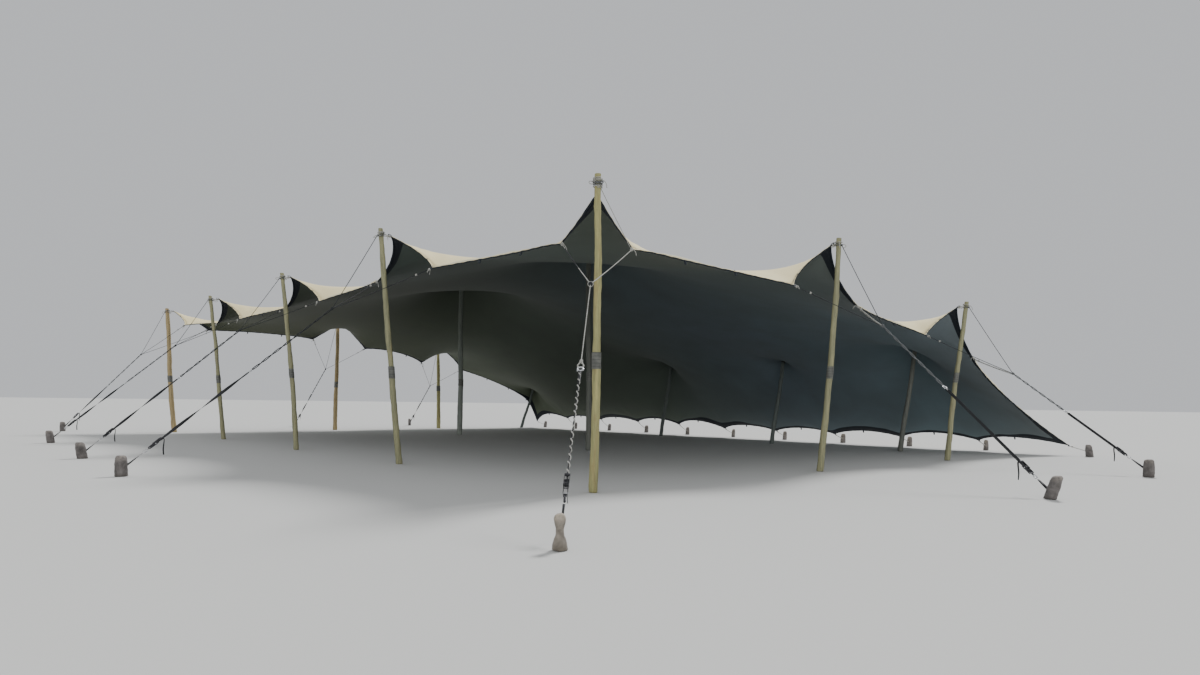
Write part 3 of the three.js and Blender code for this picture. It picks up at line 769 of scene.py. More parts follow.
def swept(path, section, turn, side=None):
    """A closed tube of a section carried and turned along a path: its points, faces and places."""
    across, upward = turning_frames(path, side)
    section = np.asarray(section, float)
    count, sides = len(path), len(section)
    length = lengths_along(path)
    angle = turn(length)
    cos, sin = np.cos(angle)[:, None], np.sin(angle)[:, None]
    x = section[:, 0] * cos - section[:, 1] * sin
    y = section[:, 0] * sin + section[:, 1] * cos
    points = path[:, None, :] + x[..., None] * across[:, None, :] + y[..., None] * upward[:, None, :]
    faces = []
    for k in range(count - 1):
        for s in range(sides):
            t = (s + 1) % sides
            faces.append((k * sides + s, k * sides + t, (k + 1) * sides + t, (k + 1) * sides + s))
    faces.append(tuple(range(sides - 1, -1, -1)))
    faces.append(tuple((count - 1) * sides + s for s in range(sides)))
    round_share = np.tile(np.arange(sides) / sides, count)
    laid = np.stack([np.repeat(length, sides), round_share, np.zeros(count * sides)], 1)
    return points.reshape(-1, 3), faces, laid


def tube_piece(name, tubes, finish_name):
    """Several ropes or straps as one piece."""
    points, faces, laid, start = [], [], [], 0
    for tube_points, tube_faces, tube_laid in tubes:
        points.append(tube_points)
        faces += [tuple(i + start for i in face) for face in tube_faces]
        laid.append(tube_laid)
        start += len(tube_points)
    return mesh_piece(name, np.vstack(points), faces, [finish_name], np.vstack(laid))


def rope_tube(points, radius, step=None):
    """A rope of three strands laid round each other."""
    lay = 0.085
    angles = np.arange(9) * TURN / 9
    reach = radius * (0.86 + 0.16 * np.cos(3 * angles))
    section = np.stack([reach * np.cos(angles), reach * np.sin(angles)], 1)
    return swept(rounded_path(points, step or lay / 5), section, lambda s: s * TURN / lay)


def webbing_tube(points, width, thick=0.0026, side=None, turns=0.0, step=0.03):
    """A flat strap with rounded edges, which turns over as often as it is told."""
    w, t = width / 2, thick / 2
    lower = [(-w, 0), (-w * 0.96, -t), (0, -t * 1.1), (w * 0.96, -t)]
    section = lower + [(-x, -y) for x, y in lower]
    path = rounded_path(points, step)
    total = lengths_along(path)[-1]
    return swept(path, section, lambda s: s * turns * TURN / total, side)


def sagging(a, b, drop, count=9):
    """A nearly straight line from a to b that hangs by a little at its middle."""
    t = np.linspace(0, 1, count)[:, None]
    return a + (b - a) * t - UP * drop * 4 * t * (1 - t)


# The canopy, found by letting the stretched net come to rest

def hem_loop(peg):
    """The loop of the low edge that a stake holds, as (along, across, up)."""
    return (HEM_START + peg * HEM_PITCH, HEM_LINE, HEM_HEIGHTS[peg])


def loop_points():
    """The loops that are tied, as (loop along, loop across) and the point of each."""
    tied = [(loop, np.array(point)) for guy in GUYED for loop, point in [guy["tip"], *guy["bridle"]]]
    return tied + [((2 * peg, LOOPS_SHORT), np.array(hem_loop(peg))) for peg in range(len(HEM_HEIGHTS))]


def hold_net(net, n):
    """Fixes the tied loops and the peaks in a net of n meshes to a loop, and says which knots are held."""
    held = np.zeros(net.shape[:2], bool)
    for (u, v), point in loop_points():
        net[u * n, v * n] = point
        held[u * n, v * n] = True
    for pole in INNER:
        u0, v0 = pole["knot"]
        for i in range(int((u0 - PEAK_REACH) * n), int((u0 + PEAK_REACH) * n) + 2):
            for j in range(int((v0 - PEAK_REACH) * n), min(int((v0 + PEAK_REACH) * n) + 2, net.shape[1])):
                away = math.hypot(i / n - u0, j / n - v0)
                if away <= PEAK_REACH + 1e-6:
                    fall = 0.5 * away * away / PEAK_REACH
                    net[i, j] = np.array(pole["peak"]) + [i / n - u0, j / n - v0, -fall]
                    held[i, j] = True
    return held


def webbing_pulls(n):
    """Extra pull of the webbing on each thread of the high edge and of the two short edges."""
    long_at = (np.arange(LOOPS_LONG * n) + 0.5) / n
    short_at = (np.arange(LOOPS_SHORT * n) + 0.5) / n
    high = np.full(len(long_at), RIM_PULL)
    near = np.where(short_at > LOW_SIDE_FROM, SIDE_PULL, RIM_PULL)
    far = near.copy()
    for guy in GUYED:
        u, v = guy["tip"][0]
        pull = guy.get("tip_pull", TIP_PULL)
        if v == 0:
            high[np.abs(long_at - u) < 1] = pull
        if u == 0:
            near[np.abs(short_at - v) < 1] = pull
        if u == LOOPS_LONG:
            far[np.abs(short_at - v) < 1] = pull
    return high, near, far


# The two ends of each thread in the net, for the threads along, across, and on both diagonals.
ENDS = (
    (np.s_[:-1], np.s_[1:]),
    (np.s_[:, :-1], np.s_[:, 1:]),
    (np.s_[:-1, :-1], np.s_[1:, 1:]),
    (np.s_[:-1, 1:], np.s_[1:, :-1]),
)


def spring_pulls(net, n):
    """The pull of each thread per metre of its length: along, across and on both diagonals."""
    mesh = UNSTRETCHED_LOOP / n
    slant = mesh * math.sqrt(2)
    pulls = []
    for (start, end), spring, slack, least in zip(ENDS, STIFFNESS, (mesh, mesh, slant, slant), LEAST_PULL):
        pulls.append(np.maximum(spring * (1 - slack / np.linalg.norm(net[end] - net[start], axis=2)), least))
    pulls[0][:, [0, -1]] *= 0.5
    pulls[1][[0, -1]] *= 0.5
    return pulls


def add_webbing(pulls, n, with_straps=True):
    """Adds the pull of the rim's webbing and of the straps that run inwards from each tip."""
    along, across, falling, rising = pulls
    high, near, far = webbing_pulls(n)
    along[:, 0] += high * n
    along[:, -1] += HEM_PULL * n
    across[0] += near * n
    across[-1] += far * n
    if not with_straps:
        return pulls
    count = int(round(TIP_STRAP * n))
    taper = np.linspace(1, 0.2, count) * n
    for guy in GUYED:
        u, v = guy["tip"][0]
        if v == 0 and 0 < u < LOOPS_LONG:
            across[u * n, :count] += taper
        elif v > 0 and u == 0:
            along[:count, v * n] += taper
        elif v > 0:
            along[-count:, v * n] += taper[::-1]
        elif u == 0:
            falling[range(count), range(count)] += CORNER_STRAP_PULL * taper
        else:
            rising[range(-1, -count - 1, -1), range(count)] += CORNER_STRAP_PULL * taper
    return pulls


def come_to_rest(net, held, pulls, rounds):
    """Moves the free knots to where the pulls on each balance."""
    free = ~held[..., None]
    threads = [(pull[..., None], start, end) for pull, (start, end) in zip(pulls, ENDS)]
    total = np.zeros(held.shape + (1,))
    for pull, start, end in threads:
        total[start] += pull
        total[end] += pull

    def unbalanced(x):
        out = np.zeros_like(x)
        for pull, start, end in threads:
            d = (x[end] - x[start]) * pull
            out[start] -= d
            out[end] += d
        return out * free

    residual = -unbalanced(net)
    z = residual / total
    heading = z.copy()
    was = (residual * z).sum((0, 1))
    for _ in range(rounds):
        turned = unbalanced(heading)
        stride = was / np.maximum((heading * turned).sum((0, 1)), 1e-30)
        net = net + stride * heading * free
        residual = residual - stride * turned
        if np.sqrt((residual * residual).sum()) < 1e-5:
            break
        z = residual / total
        now = (residual * z).sum((0, 1))
        heading = z + (now / np.maximum(was, 1e-30)) * heading
        was = now
    return net


def first_net(n):
    """A net laid roughly over the poles and let down under even pulls."""
    columns, rows = LOOPS_LONG * n + 1, LOOPS_SHORT * n + 1
    net = np.zeros((columns, rows, 3))
    v = np.linspace(0, 1, rows)[None]
    net[..., 0] = np.linspace(0, FIRST_LENGTH, columns)[:, None]
    net[..., 1] = v * HEM_LINE
    net[..., 2] = FIRST_HEIGHT - FIRST_FALL * v * v
    held = hold_net(net, n)
    pulls = [np.ones((columns - 1, rows)), np.ones((columns, rows - 1))]
    pulls += [np.full((columns - 1, rows - 1), 0.3) for _ in range(2)]
    pulls[0][:, [0, -1]] = 0.5
    pulls[1][[0, -1]] = 0.5
    return come_to_rest(net, held, add_webbing(pulls, n, False), 600)


def stretched_net(n, net, rounds, inner):
    """Lets the threads pull as they are stretched, and the net move as they pull, in turn."""
    held = hold_net(net, n)
    pulls = None
    for _ in range(rounds):
        wanted = add_webbing(spring_pulls(net, n), n)
        pulls = wanted if pulls is None else [p + FOLLOWING * (w - p) for p, w in zip(pulls, wanted)]
        net = come_to_rest(net, held, pulls, inner)
    return net


def finer_net(net, times):
    """The same net with each mesh divided, by straight lines between its knots."""
    for axis in (0, 1):
        net = np.moveaxis(net, axis, 0)
        parts = [net[:-1] + (net[1:] - net[:-1]) * k / times for k in range(times)]
        finer = np.stack(parts, 1).reshape(-1, *net.shape[1:])
        net = np.moveaxis(np.concatenate([finer, net[-1:]]), 0, axis)
    return net


def pleats(u, v):
    """Small folds that fan out in the cloth from each tied loop and each peak."""
    height = np.zeros(np.broadcast(u, v).shape)
    spots = [(loop, 7, 0.45) for loop, _ in loop_points()] + [(pole["knot"], 9, 0.50) for pole in INNER]
    for k, ((u0, v0), folds, reach) in enumerate(spots):
        away = np.hypot(u - u0, v - v0) / reach
        turn = np.arctan2(v - v0, u - u0)
        wave = np.sin(folds * turn + 1.7 * k) + 0.4 * np.sin((folds + 4) * turn + 0.9 * k)
        height += PLEAT_DEPTH * wave * away**2 * np.exp(1 - away**2)
    return height


CANOPY = {}


def canopy_net():
    """The canopy's middle surface in the shared frame, its normals, and its knots to a loop."""
    if CANOPY:
        return CANOPY
    net = stretched_net(COARSE_NET, first_net(COARSE_NET), 14, 250)
    n, rounds, inner = ((12, 7, 140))
    net = stretched_net(n, finer_net(net, n // COARSE_NET), rounds, inner)
    surface = np.stack([net[..., 1], net[..., 0], net[..., 2]], 2) + CORNER_FOOT
    normal = np.cross(np.gradient(surface, axis=1), np.gradient(surface, axis=0))
    normal /= np.linalg.norm(normal, axis=2)[..., None]
    u, v = np.meshgrid(np.arange(net.shape[0]) / n, np.arange(net.shape[1]) / n, indexing="ij")
    CANOPY.update(surface=surface + normal * pleats(u, v)[..., None], normal=normal, n=n, u=u, v=v)
    return CANOPY


class TENT_OT_canopy(bpy.types.Operator):
    """Stretches the cloth between its poles and pegs"""

    bl_idname = "tent.canopy"
    bl_label = "Canopy cloth"

    def execute(self, context):
        canopy = canopy_net()
        surface = canopy["surface"]
        shape = surface.shape[:2]
        count = shape[0] * shape[1]
        half = canopy["normal"] * (sizes().cloth_thickness / 2)
        index = np.arange(count).reshape(shape)
        top = self.triangles(index, surface.reshape(-1, 3))
        under = top[:, ::-1] + count
        rim = np.concatenate([index[:-1, 0], index[-1, :-1], index[:0:-1, -1], index[0, :0:-1]])
        following = np.roll(rim, -1)
        sides = np.stack([rim, following, following + count, rim + count], 1)
        flat = np.stack([canopy["u"], canopy["v"], 0 * canopy["u"]], 2).reshape(-1, 3)
        flat = np.vstack([flat, flat])
        piece = mesh_piece(
            "canopy_cloth_sheet",
            np.vstack([(surface + half).reshape(-1, 3), (surface - half).reshape(-1, 3)]),
            [*top, *under, *sides],
            ["cream", "underside", "binding"],
            flat,
            "flat_cloth",
            np.repeat([0, 1, 2], [len(top), len(under), len(sides)]),
        )
        self.lay_out(piece, flat, count)
        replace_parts(piece, "canopy")
        poles = ["pole_" + guy["name"] + "_wood" for guy in GUYED]
        poles += [pole["name"] + "_wood" for pole in INNER]
        return {"FINISHED"}

    def triangles(self, index, knots):
        """Two triangles for each mesh of the net, divided along its shorter diagonal."""
        a, b, c, d = (k.ravel() for k in (index[:-1, :-1], index[:-1, 1:], index[1:, 1:], index[1:, :-1]))
        one_way, other_way = (np.linalg.norm(knots[p] - knots[q], axis=1) for p, q in ((a, c), (b, d)))
        pick = (one_way < other_way)[:, None]
        one = np.where(pick, np.stack([a, b, c], 1), np.stack([a, b, d], 1))
        other = np.where(pick, np.stack([a, c, d], 1), np.stack([b, c, d], 1))
        return np.vstack([one, other])

    def lay_out(self, piece, flat, count):
        """Lays the two faces side by side in the cloth's own flat map."""
        corner = np.zeros(len(piece.data.loops), np.int32)
        piece.data.loops.foreach_get("vertex_index", corner)
        place = flat[corner]
        uv = np.stack([place[:, 1] / 32 + 0.5 * (corner >= count), place[:, 0] / 21], 1)
        layer = piece.data.uv_layers.new(name="cloth_halves")
        layer.data.foreach_set("uv", uv.astype(np.float32).ravel())


# The rim: its binding, its cream hem, and the webbing loops sewn to it

class Rim:
    """The rim's points in one round, with a way to read any of their values at even stations along it."""

    def __init__(self):
        canopy = canopy_net()
        surface, normal = canopy["surface"], canopy["normal"]
        columns, rows = surface.shape[:2]
        walk = [(i, 0) for i in range(columns - 1)] + [(columns - 1, j) for j in range(rows - 1)]
        walk += [(i, rows - 1) for i in range(columns - 1, 0, -1)] + [(0, j) for j in range(rows - 1, 0, -1)]
        self.walk = np.array(walk)
        self.n = canopy["n"]
        inward = np.clip(self.walk, 1, np.array([columns - 2, rows - 2]))
        self.point = surface[self.walk[:, 0], self.walk[:, 1]]
        out = self.point - surface[inward[:, 0], inward[:, 1]]
        self.out = out / np.linalg.norm(out, axis=1)[:, None]
        self.normal = normal[self.walk[:, 0], self.walk[:, 1]]
        self.length = lengths_along(np.vstack([self.point, self.point[:1]]))
        self.stations = np.linspace(0, self.length[-1], int(self.length[-1] / RIM_STEP), endpoint=False)
        self.phase = self.stations * TURN
        self.path, self.outward, self.upward = (self.read(v) for v in (self.point, self.out, self.normal))
        self.u, self.v = self.read(self.walk).T / self.n

    def read(self, values):
        columns = (np.append(values[:, k], values[0, k]) for k in range(values.shape[1]))
        return np.stack([np.interp(self.stations, self.length, column) for column in columns], 1)

    def roll(self, name, finish_name, centre, wide, tall, angles, lit):
        """A closed ring of rolled cloth all round the rim."""
        cos, sin = np.cos(angles), np.sin(angles)
        ring = centre[:, None] + (cos * wide)[None, :, None] * self.outward[:, None]
        ring = ring + (sin[None] * tall[:, None])[..., None] * self.upward[:, None]
        count, sides = len(self.stations), len(angles)
        ids = np.arange(count * sides).reshape(count, sides)
        after = np.roll(ids, -1, 0)
        faces = np.stack([ids, after, np.roll(after, -1, 1), np.roll(ids, -1, 1)], 2).reshape(-1, 4)
        laid = np.stack([np.repeat(self.stations, sides), np.tile(lit, count), np.zeros(count * sides)], 1)
        piece = mesh_piece(name, ring.reshape(-1, 3), faces, [finish_name], laid)
        clear_selection()
        piece.select_set(True)
        bpy.context.view_layer.objects.active = piece
        edit_all()
        end_edit(face_out=True)


class TENT_OT_binding(bpy.types.Operator):
    """Rolls the dark binding round the rim and sews on its webbing loops"""

    bl_idname = "tent.binding"
    bl_label = "Rim binding and loops"

    def execute(self, context):
        rim = Rim()
        self.bind(rim)
        self.fold_hem(rim)
        self.sew_loops(rim)
        return {"FINISHED"}

    def bind(self, rim):
        """The dark binding, puckered by its stitches, and thinner along the low edge."""
        phase = rim.phase
        quick = np.sin(phase * 8.3 + 1.3 * np.sin(phase * 1.1 + 1))
        pucker = 0.5 * np.sin(phase * 5.1 + 2 * np.sin(phase * 0.7)) + 0.5 * quick
        angles = np.arange(10) * TURN / 10
        tall = np.where(rim.v > LOOPS_SHORT - 0.5, 0.0090, 0.0130) * (1 + 0.22 * pucker)
        centre = rim.path + rim.outward * 0.006 + rim.upward * (0.0025 * np.sin(phase * 3.7))[:, None]
        lit = np.clip(np.sin(angles - 0.35), 0, 1)
        rim.roll("rim_binding_roll", "binding", centre, sizes().binding_width / 2, tall, angles, lit)

    def fold_hem(self, rim):
        """The cream hem turned up over the binding: in places it shows as a lip, elsewhere hardly at all."""
        beside = np.maximum(np.abs((rim.u + 2.5) % 5 - 2.5), np.abs((rim.v + 2.5) % 5 - 2.5))
        free = np.clip((beside - 0.9) / 0.35, 0, 1) * np.where(rim.v > LOOPS_SHORT - 0.5, 0.45, 1.0)
        phase = rim.phase
        patches = np.sin(phase * 0.31 + 2.2 * np.sin(phase * 0.13))
        patches = patches + 0.6 * np.sin(phase * 0.83 + 1.1) + 0.35 * np.sin(phase * 2.9)
        tall = 0.0020 + 0.011 * free * np.clip(0.45 + 0.6 * patches, 0.0, 1.25)
        angles = np.arange(8) * TURN / 8
        centre = rim.path + rim.outward * 0.014 + rim.upward * (0.0095 + tall * 0.75)[:, None]
        rim.roll("rim_hem_fold", "hem", centre, 0.0035, tall, angles, np.sin(angles))

    def sew_loops(self, rim):
        """A webbing loop at each metre of the rim: the tied ones point to their rope, the others hang."""
        towards = {}
        for guy in GUYED:
            towards[guy["tip"][0]] = at(guy["head"]) - at(guy["tip"][1])
            for loop, place in guy["bridle"]:
                towards[loop] = at(guy["join"]) - at(place)
        for peg in range(len(HEM_HEIGHTS)):
            towards[(2 * peg, LOOPS_SHORT)] = np.array([1.0, 0, -0.4])
        tubes = []
        for k, (i, j) in enumerate(rim.walk):
            if i % rim.n or j % rim.n:
                continue
            here = rim.point[k]
            loop = (i // rim.n, j // rim.n)
            tied = loop in towards
            pull = unit(towards[loop] if tied else rim.out[k] * 0.55 - UP)
            reach = 0.085 if tied else 0.075
            rim_way = unit(rim.point[(k + 1) % len(rim.walk)] - rim.point[k - 1])
            lift = unit(np.cross(pull, rim_way)) * 0.011
            bottom, far = here - pull * 0.03, here + pull * reach
            bend = here + pull * reach * 0.6
            shape = [bottom + lift * 0.5, here + lift * 0.6, bend + lift * 1.3, far]
            shape += [bend - lift * 1.3, here - lift * 0.6, bottom - lift * 0.5]
            tubes.append(webbing_tube(shape, 0.026, 0.003, rim_way, step=0.012))
        tube_piece("rim_loop_webbing", tubes, "loop")


# Poles, grown ring by ring from a circle on the ground

def pole_rings(foot, head, foot_radius, head_radius, strays, seed, count=25):
    """Ring centres and radii of a natural pole that strays a little from the line between its ends."""
    shares = np.concatenate([[0, 0.003], np.linspace(0, 1, count)[1:]])
    spots, offs = zip((0.0, 0.0), *strays, (1.0, 0.0))
    belly = np.sin(shares * math.pi)
    stray = np.interp(shares, spots, offs) + 0.004 * np.sin(shares * 26 + seed * 2.2) * belly
    wobble = 0.008 * np.sin(shares * 9 + seed) * belly
    centres = foot + shares[:, None] * (head - foot) + stray[:, None] * VIEW_RIGHT
    centres = centres + wobble[:, None] * np.cross(VIEW_RIGHT, UP)
    lumps = 1 + 0.05 * np.sin(shares * 21 + seed * 1.7) + 0.035 * np.sin(shares * 37 + seed)
    radii = (foot_radius + (head_radius - foot_radius) * shares) * lumps
    radii[:2] = foot_radius * 1.03
    return centres, radii


def grown_pole(name, centres, radii, wood, knots):
    """A pole grown by extruding a circle from ring to ring, with the stubs of its cut branches."""
    clear_selection()
    start = tuple(centres[0])
    bpy.ops.mesh.primitive_circle_add(vertices=14, radius=float(radii[0]), fill_type="NGON", location=start)
    pole = bpy.context.object
    bpy.ops.object.mode_set(mode="EDIT")
    bpy.ops.mesh.select_mode(type="FACE")
    bpy.ops.mesh.select_all(action="SELECT")
    for k in range(1, len(centres)):
        step = tuple(centres[k] - centres[k - 1])
        bpy.ops.mesh.extrude_region_move(TRANSFORM_OT_translate={"value": step})
        ratio = float(radii[k] / radii[k - 1])
        bpy.ops.transform.resize(value=(ratio, ratio, 1), center_override=tuple(centres[k]))
    bpy.ops.mesh.bevel(offset=float(radii[-1] * 0.22), segments=2, affect="EDGES")
    end_edit(face_out=True)
    freeze_place()
    for share, turn in knots:
        cut_branch_stub(pole, centres, share, turn)
    modify(pole, "SUBSURF", levels=1, render_levels=1)
    roughen(pole, name + "_lumps", 0.13, "GLOBAL", 0.018)
    bpy.ops.object.shade_smooth_by_angle(angle=math.radians(50))
    pole.data.materials.append(finish(wood))
    return own(pole, name)


def cut_branch_stub(pole, centres, share, turn):
    """Draws the side face nearest to a height and a direction out into a low stub."""
    height = centres[0][2] + share * (centres[-1][2] - centres[0][2])
    want = Vector((math.cos(turn), math.sin(turn), 0))
    sides = [face for face in pole.data.polygons if abs(face.normal.z) <= 0.5]
    best = min(sides, key=lambda face: abs(face.center.z - height) * 4 - want.dot(face.normal)).index
    for face in pole.data.polygons:
        face.select = face.index == best
    bpy.ops.object.mode_set(mode="EDIT")
    bpy.ops.mesh.inset(thickness=0.004, depth=0.0)
    centre = tuple(pole.data.polygons[best].center)
    bpy.ops.transform.resize(value=(1, 1, 0.3), center_override=centre)
    bpy.ops.mesh.extrude_region_shrink_fatten(TRANSFORM_OT_shrink_fatten={"value": -0.009})
    bpy.ops.transform.resize(value=(0.7, 0.7, 0.7), center_override=centre)
    end_edit()


def along_pole(centres, radii, height):
    """Where the pole's middle is at a height, and its radius there."""
    middle = np.array([np.interp(height, centres[:, 2], centres[:, k]) for k in range(3)])
    return middle, float(np.interp(height, centres[:, 2], radii))


def tape_band(name, centres, radii, low, high):
    """Tape wound round the pole between two heights."""
    clear_selection()
    bottom, radius = along_pole(centres, radii, low)
    middle = (bottom + along_pole(centres, radii, high)[0]) / 2
    size = {"radius": radius + 0.004, "depth": high - low}
    bpy.ops.mesh.primitive_cylinder_add(vertices=24, end_fill_type="NOTHING", location=tuple(middle), **size)
    band = bpy.context.object
    edit_all()
    bpy.ops.mesh.subdivide(number_cuts=3)
    bpy.ops.mesh.remove_doubles(threshold=0.0001)
    end_edit()
    freeze_place()
    for vertex in band.data.vertices:
        here, _ = along_pole(centres, radii, vertex.co.z)
        x, y, _ = np.array(vertex.co) - middle
        lump = 1 + 0.025 * math.sin(vertex.co.z * 90) + 0.02 * math.sin(vertex.co.z * 41 + x * 60)
        vertex.co = Vector(here + np.array([x * lump, y * lump, 0]))
    modify(band, "SOLIDIFY", thickness=0.010, offset=-1)
    bpy.ops.object.shade_smooth_by_angle(angle=math.radians(40))
    band.data.materials.append(finish("tape"))
    own(band, name)


def guyed_pole_shape(number):
    """The rings of a guyed pole, which its ropes are also tied round."""
    guy = GUYED[number]
    stout = guy.get("stout", 1.0)
    radii = (sizes().pole_foot * stout, sizes().pole_head * stout)
    return pole_rings(at(guy["foot"]), at(guy["head"]), *radii, guy["strays"], 1.3 * number)


class TENT_OT_guyed_poles(bpy.types.Operator):
    """Stands the nine poles that the cloth's edges are tied to"""

    bl_idname = "tent.guyed_poles"
    bl_label = "Guyed poles"

    def execute(self, context):
        for number, guy in enumerate(GUYED):
            name = "pole_" + guy["name"]
            centres, radii = guyed_pole_shape(number)
            shares = [0.11 + 0.17 * k + 0.03 * math.sin(number * 3 + k) for k in range(5)]
            knots = [(share, 1.9 * k + number * 1.1) for k, share in enumerate(shares)]
            wood = GUYED_WOODS.get(guy["name"], "wood_grey")
            pole = grown_pole(name + "_wood", centres, radii, wood, knots)
            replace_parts(pole, name)
            low = TAPE_HEIGHTS[number]
            tape_band(name + "_tape", centres, radii, low, low + TAPE_TALL)
        return {"FINISHED"}


class TENT_OT_inner_poles(bpy.types.Operator):
    """Stands the two middle poles and the four low props, with the domes on their heads"""

    bl_idname = "tent.inner_poles"
    bl_label = "Inner poles"

    def execute(self, context):
        for number, pole in enumerate(INNER):
            name = pole["name"]
            king = name.startswith("king")
            foot, peak = at(pole["foot"]), at(pole["peak"])
            head = peak - unit(peak - foot) * 0.10
            strays = [(0.3, 0.018), (0.6, -0.012)] if king else [(0.25, -0.012), (0.62, 0.022)]
            centres, radii = pole_rings(foot, head, *pole["radii"], strays, 2.1 + number, 21 if king else 15)
            knots = [(0.2 + 0.22 * k, 2.3 * k + number) for k in range(3)]
            made = grown_pole(name + "_wood", centres, radii, pole["wood"], knots)
            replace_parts(made, name)
            if king:
                tape_band(name + "_tape", centres, radii, *KING_TAPE)
            self.head_dome(name + "_dome", peak, pole["radii"][1] + 0.014)
        return {"FINISHED"}

    def head_dome(self, name, peak, radius):
        """A turned dome that spreads the pole's push under the cloth."""
        flattened = 0.75
        middle = peak - UP * (0.028 + radius * flattened)
        clear_selection()
        bpy.ops.mesh.primitive_uv_sphere_add(segments=32, ring_count=16, radius=radius, location=middle)
        dome = bpy.context.object
        edit_all()
        bpy.ops.transform.resize(value=(1, 1, flattened))
        cut = tuple(middle - UP * 0.012)
        bpy.ops.mesh.bisect(plane_co=cut, plane_no=(0, 0, 1), use_fill=True, clear_inner=True)
        bpy.ops.mesh.inset(thickness=radius * 0.35, depth=0.0)
        bpy.ops.mesh.extrude_region_move(TRANSFORM_OT_translate={"value": (0, 0, -0.045)})
        end_edit(face_out=True)
        freeze_place()
        modify(dome, "BEVEL", width=0.006, segments=2, limit_method="ANGLE")
        bpy.ops.object.shade_smooth_by_angle(angle=math.radians(45))
        dome.data.materials.append(finish("dome"))
        own(dome, name)


# Guy lines: rope from the pole's head and the bridle loops to a junction, then a hook, a strap and a ratchet

def guy_points(guy):
    """The main points of a guy line, and its directions down the line and out from the pole."""
    join, stake = at(guy["join"]), at(guy["stake"])
    grip = stake + UP * COVER_GRIP
    hook = join + (grip - join) * HOOK_AT
    down = unit(grip - hook)
    low = grip - down * guy.get("ratchet_at", RATCHET_FROM_STAKE)
    high = low - down * RATCHET_LENGTH
    out = unit((stake - at(guy["foot"])) * [1, 1, 0])
    level = unit(np.cross(down, UP))
    return SimpleNamespace(
        join=join, stake=stake, grip=grip, hook=hook, down=down, low=low, high=high, out=out, level=level
    )


def coil(middle, radius, axis, turns, pitch, start=0.0):
    """Points of a helix round an axis."""
    axis = unit(axis)
    side = unit(np.cross(axis, [0.3, 0.9, 0.1]))
    t = np.linspace(0, turns, int(turns * 14) + 1)
    angle = start + t * TURN
    round_way = np.cos(angle)[:, None] * side + np.sin(angle)[:, None] * np.cross(axis, side)
    return middle + axis * ((t - turns / 2) * pitch)[:, None] + radius * round_way


def twisted(start, end, count, turns, reach, side, up, phase=0.0):
    """Points of a line from start to end that winds round the straight way between them."""
    t = np.linspace(0, 1, count)[:, None]
    angle = phase + t * turns * TURN
    return start + (end - start) * t + reach * (np.cos(angle) * side + np.sin(angle) * up)


def bunched_knot(middle, axis, size, radius):
    """A pulled-tight knot: short turns of the rope crossed over each other."""
    axis = unit(axis)
    crossed = unit(axis + unit(np.cross(axis, [0.2, 0.3, 0.93])) * 1.1)
    wound = coil(middle, size, axis, 2.2, radius * 1.8)
    over = coil(middle, size * 0.9, crossed, 1.3, radius * 1.6, 1.0)
    return [rope_tube(path, radius * 0.9, FINE_STEP) for path in (wound, over)]


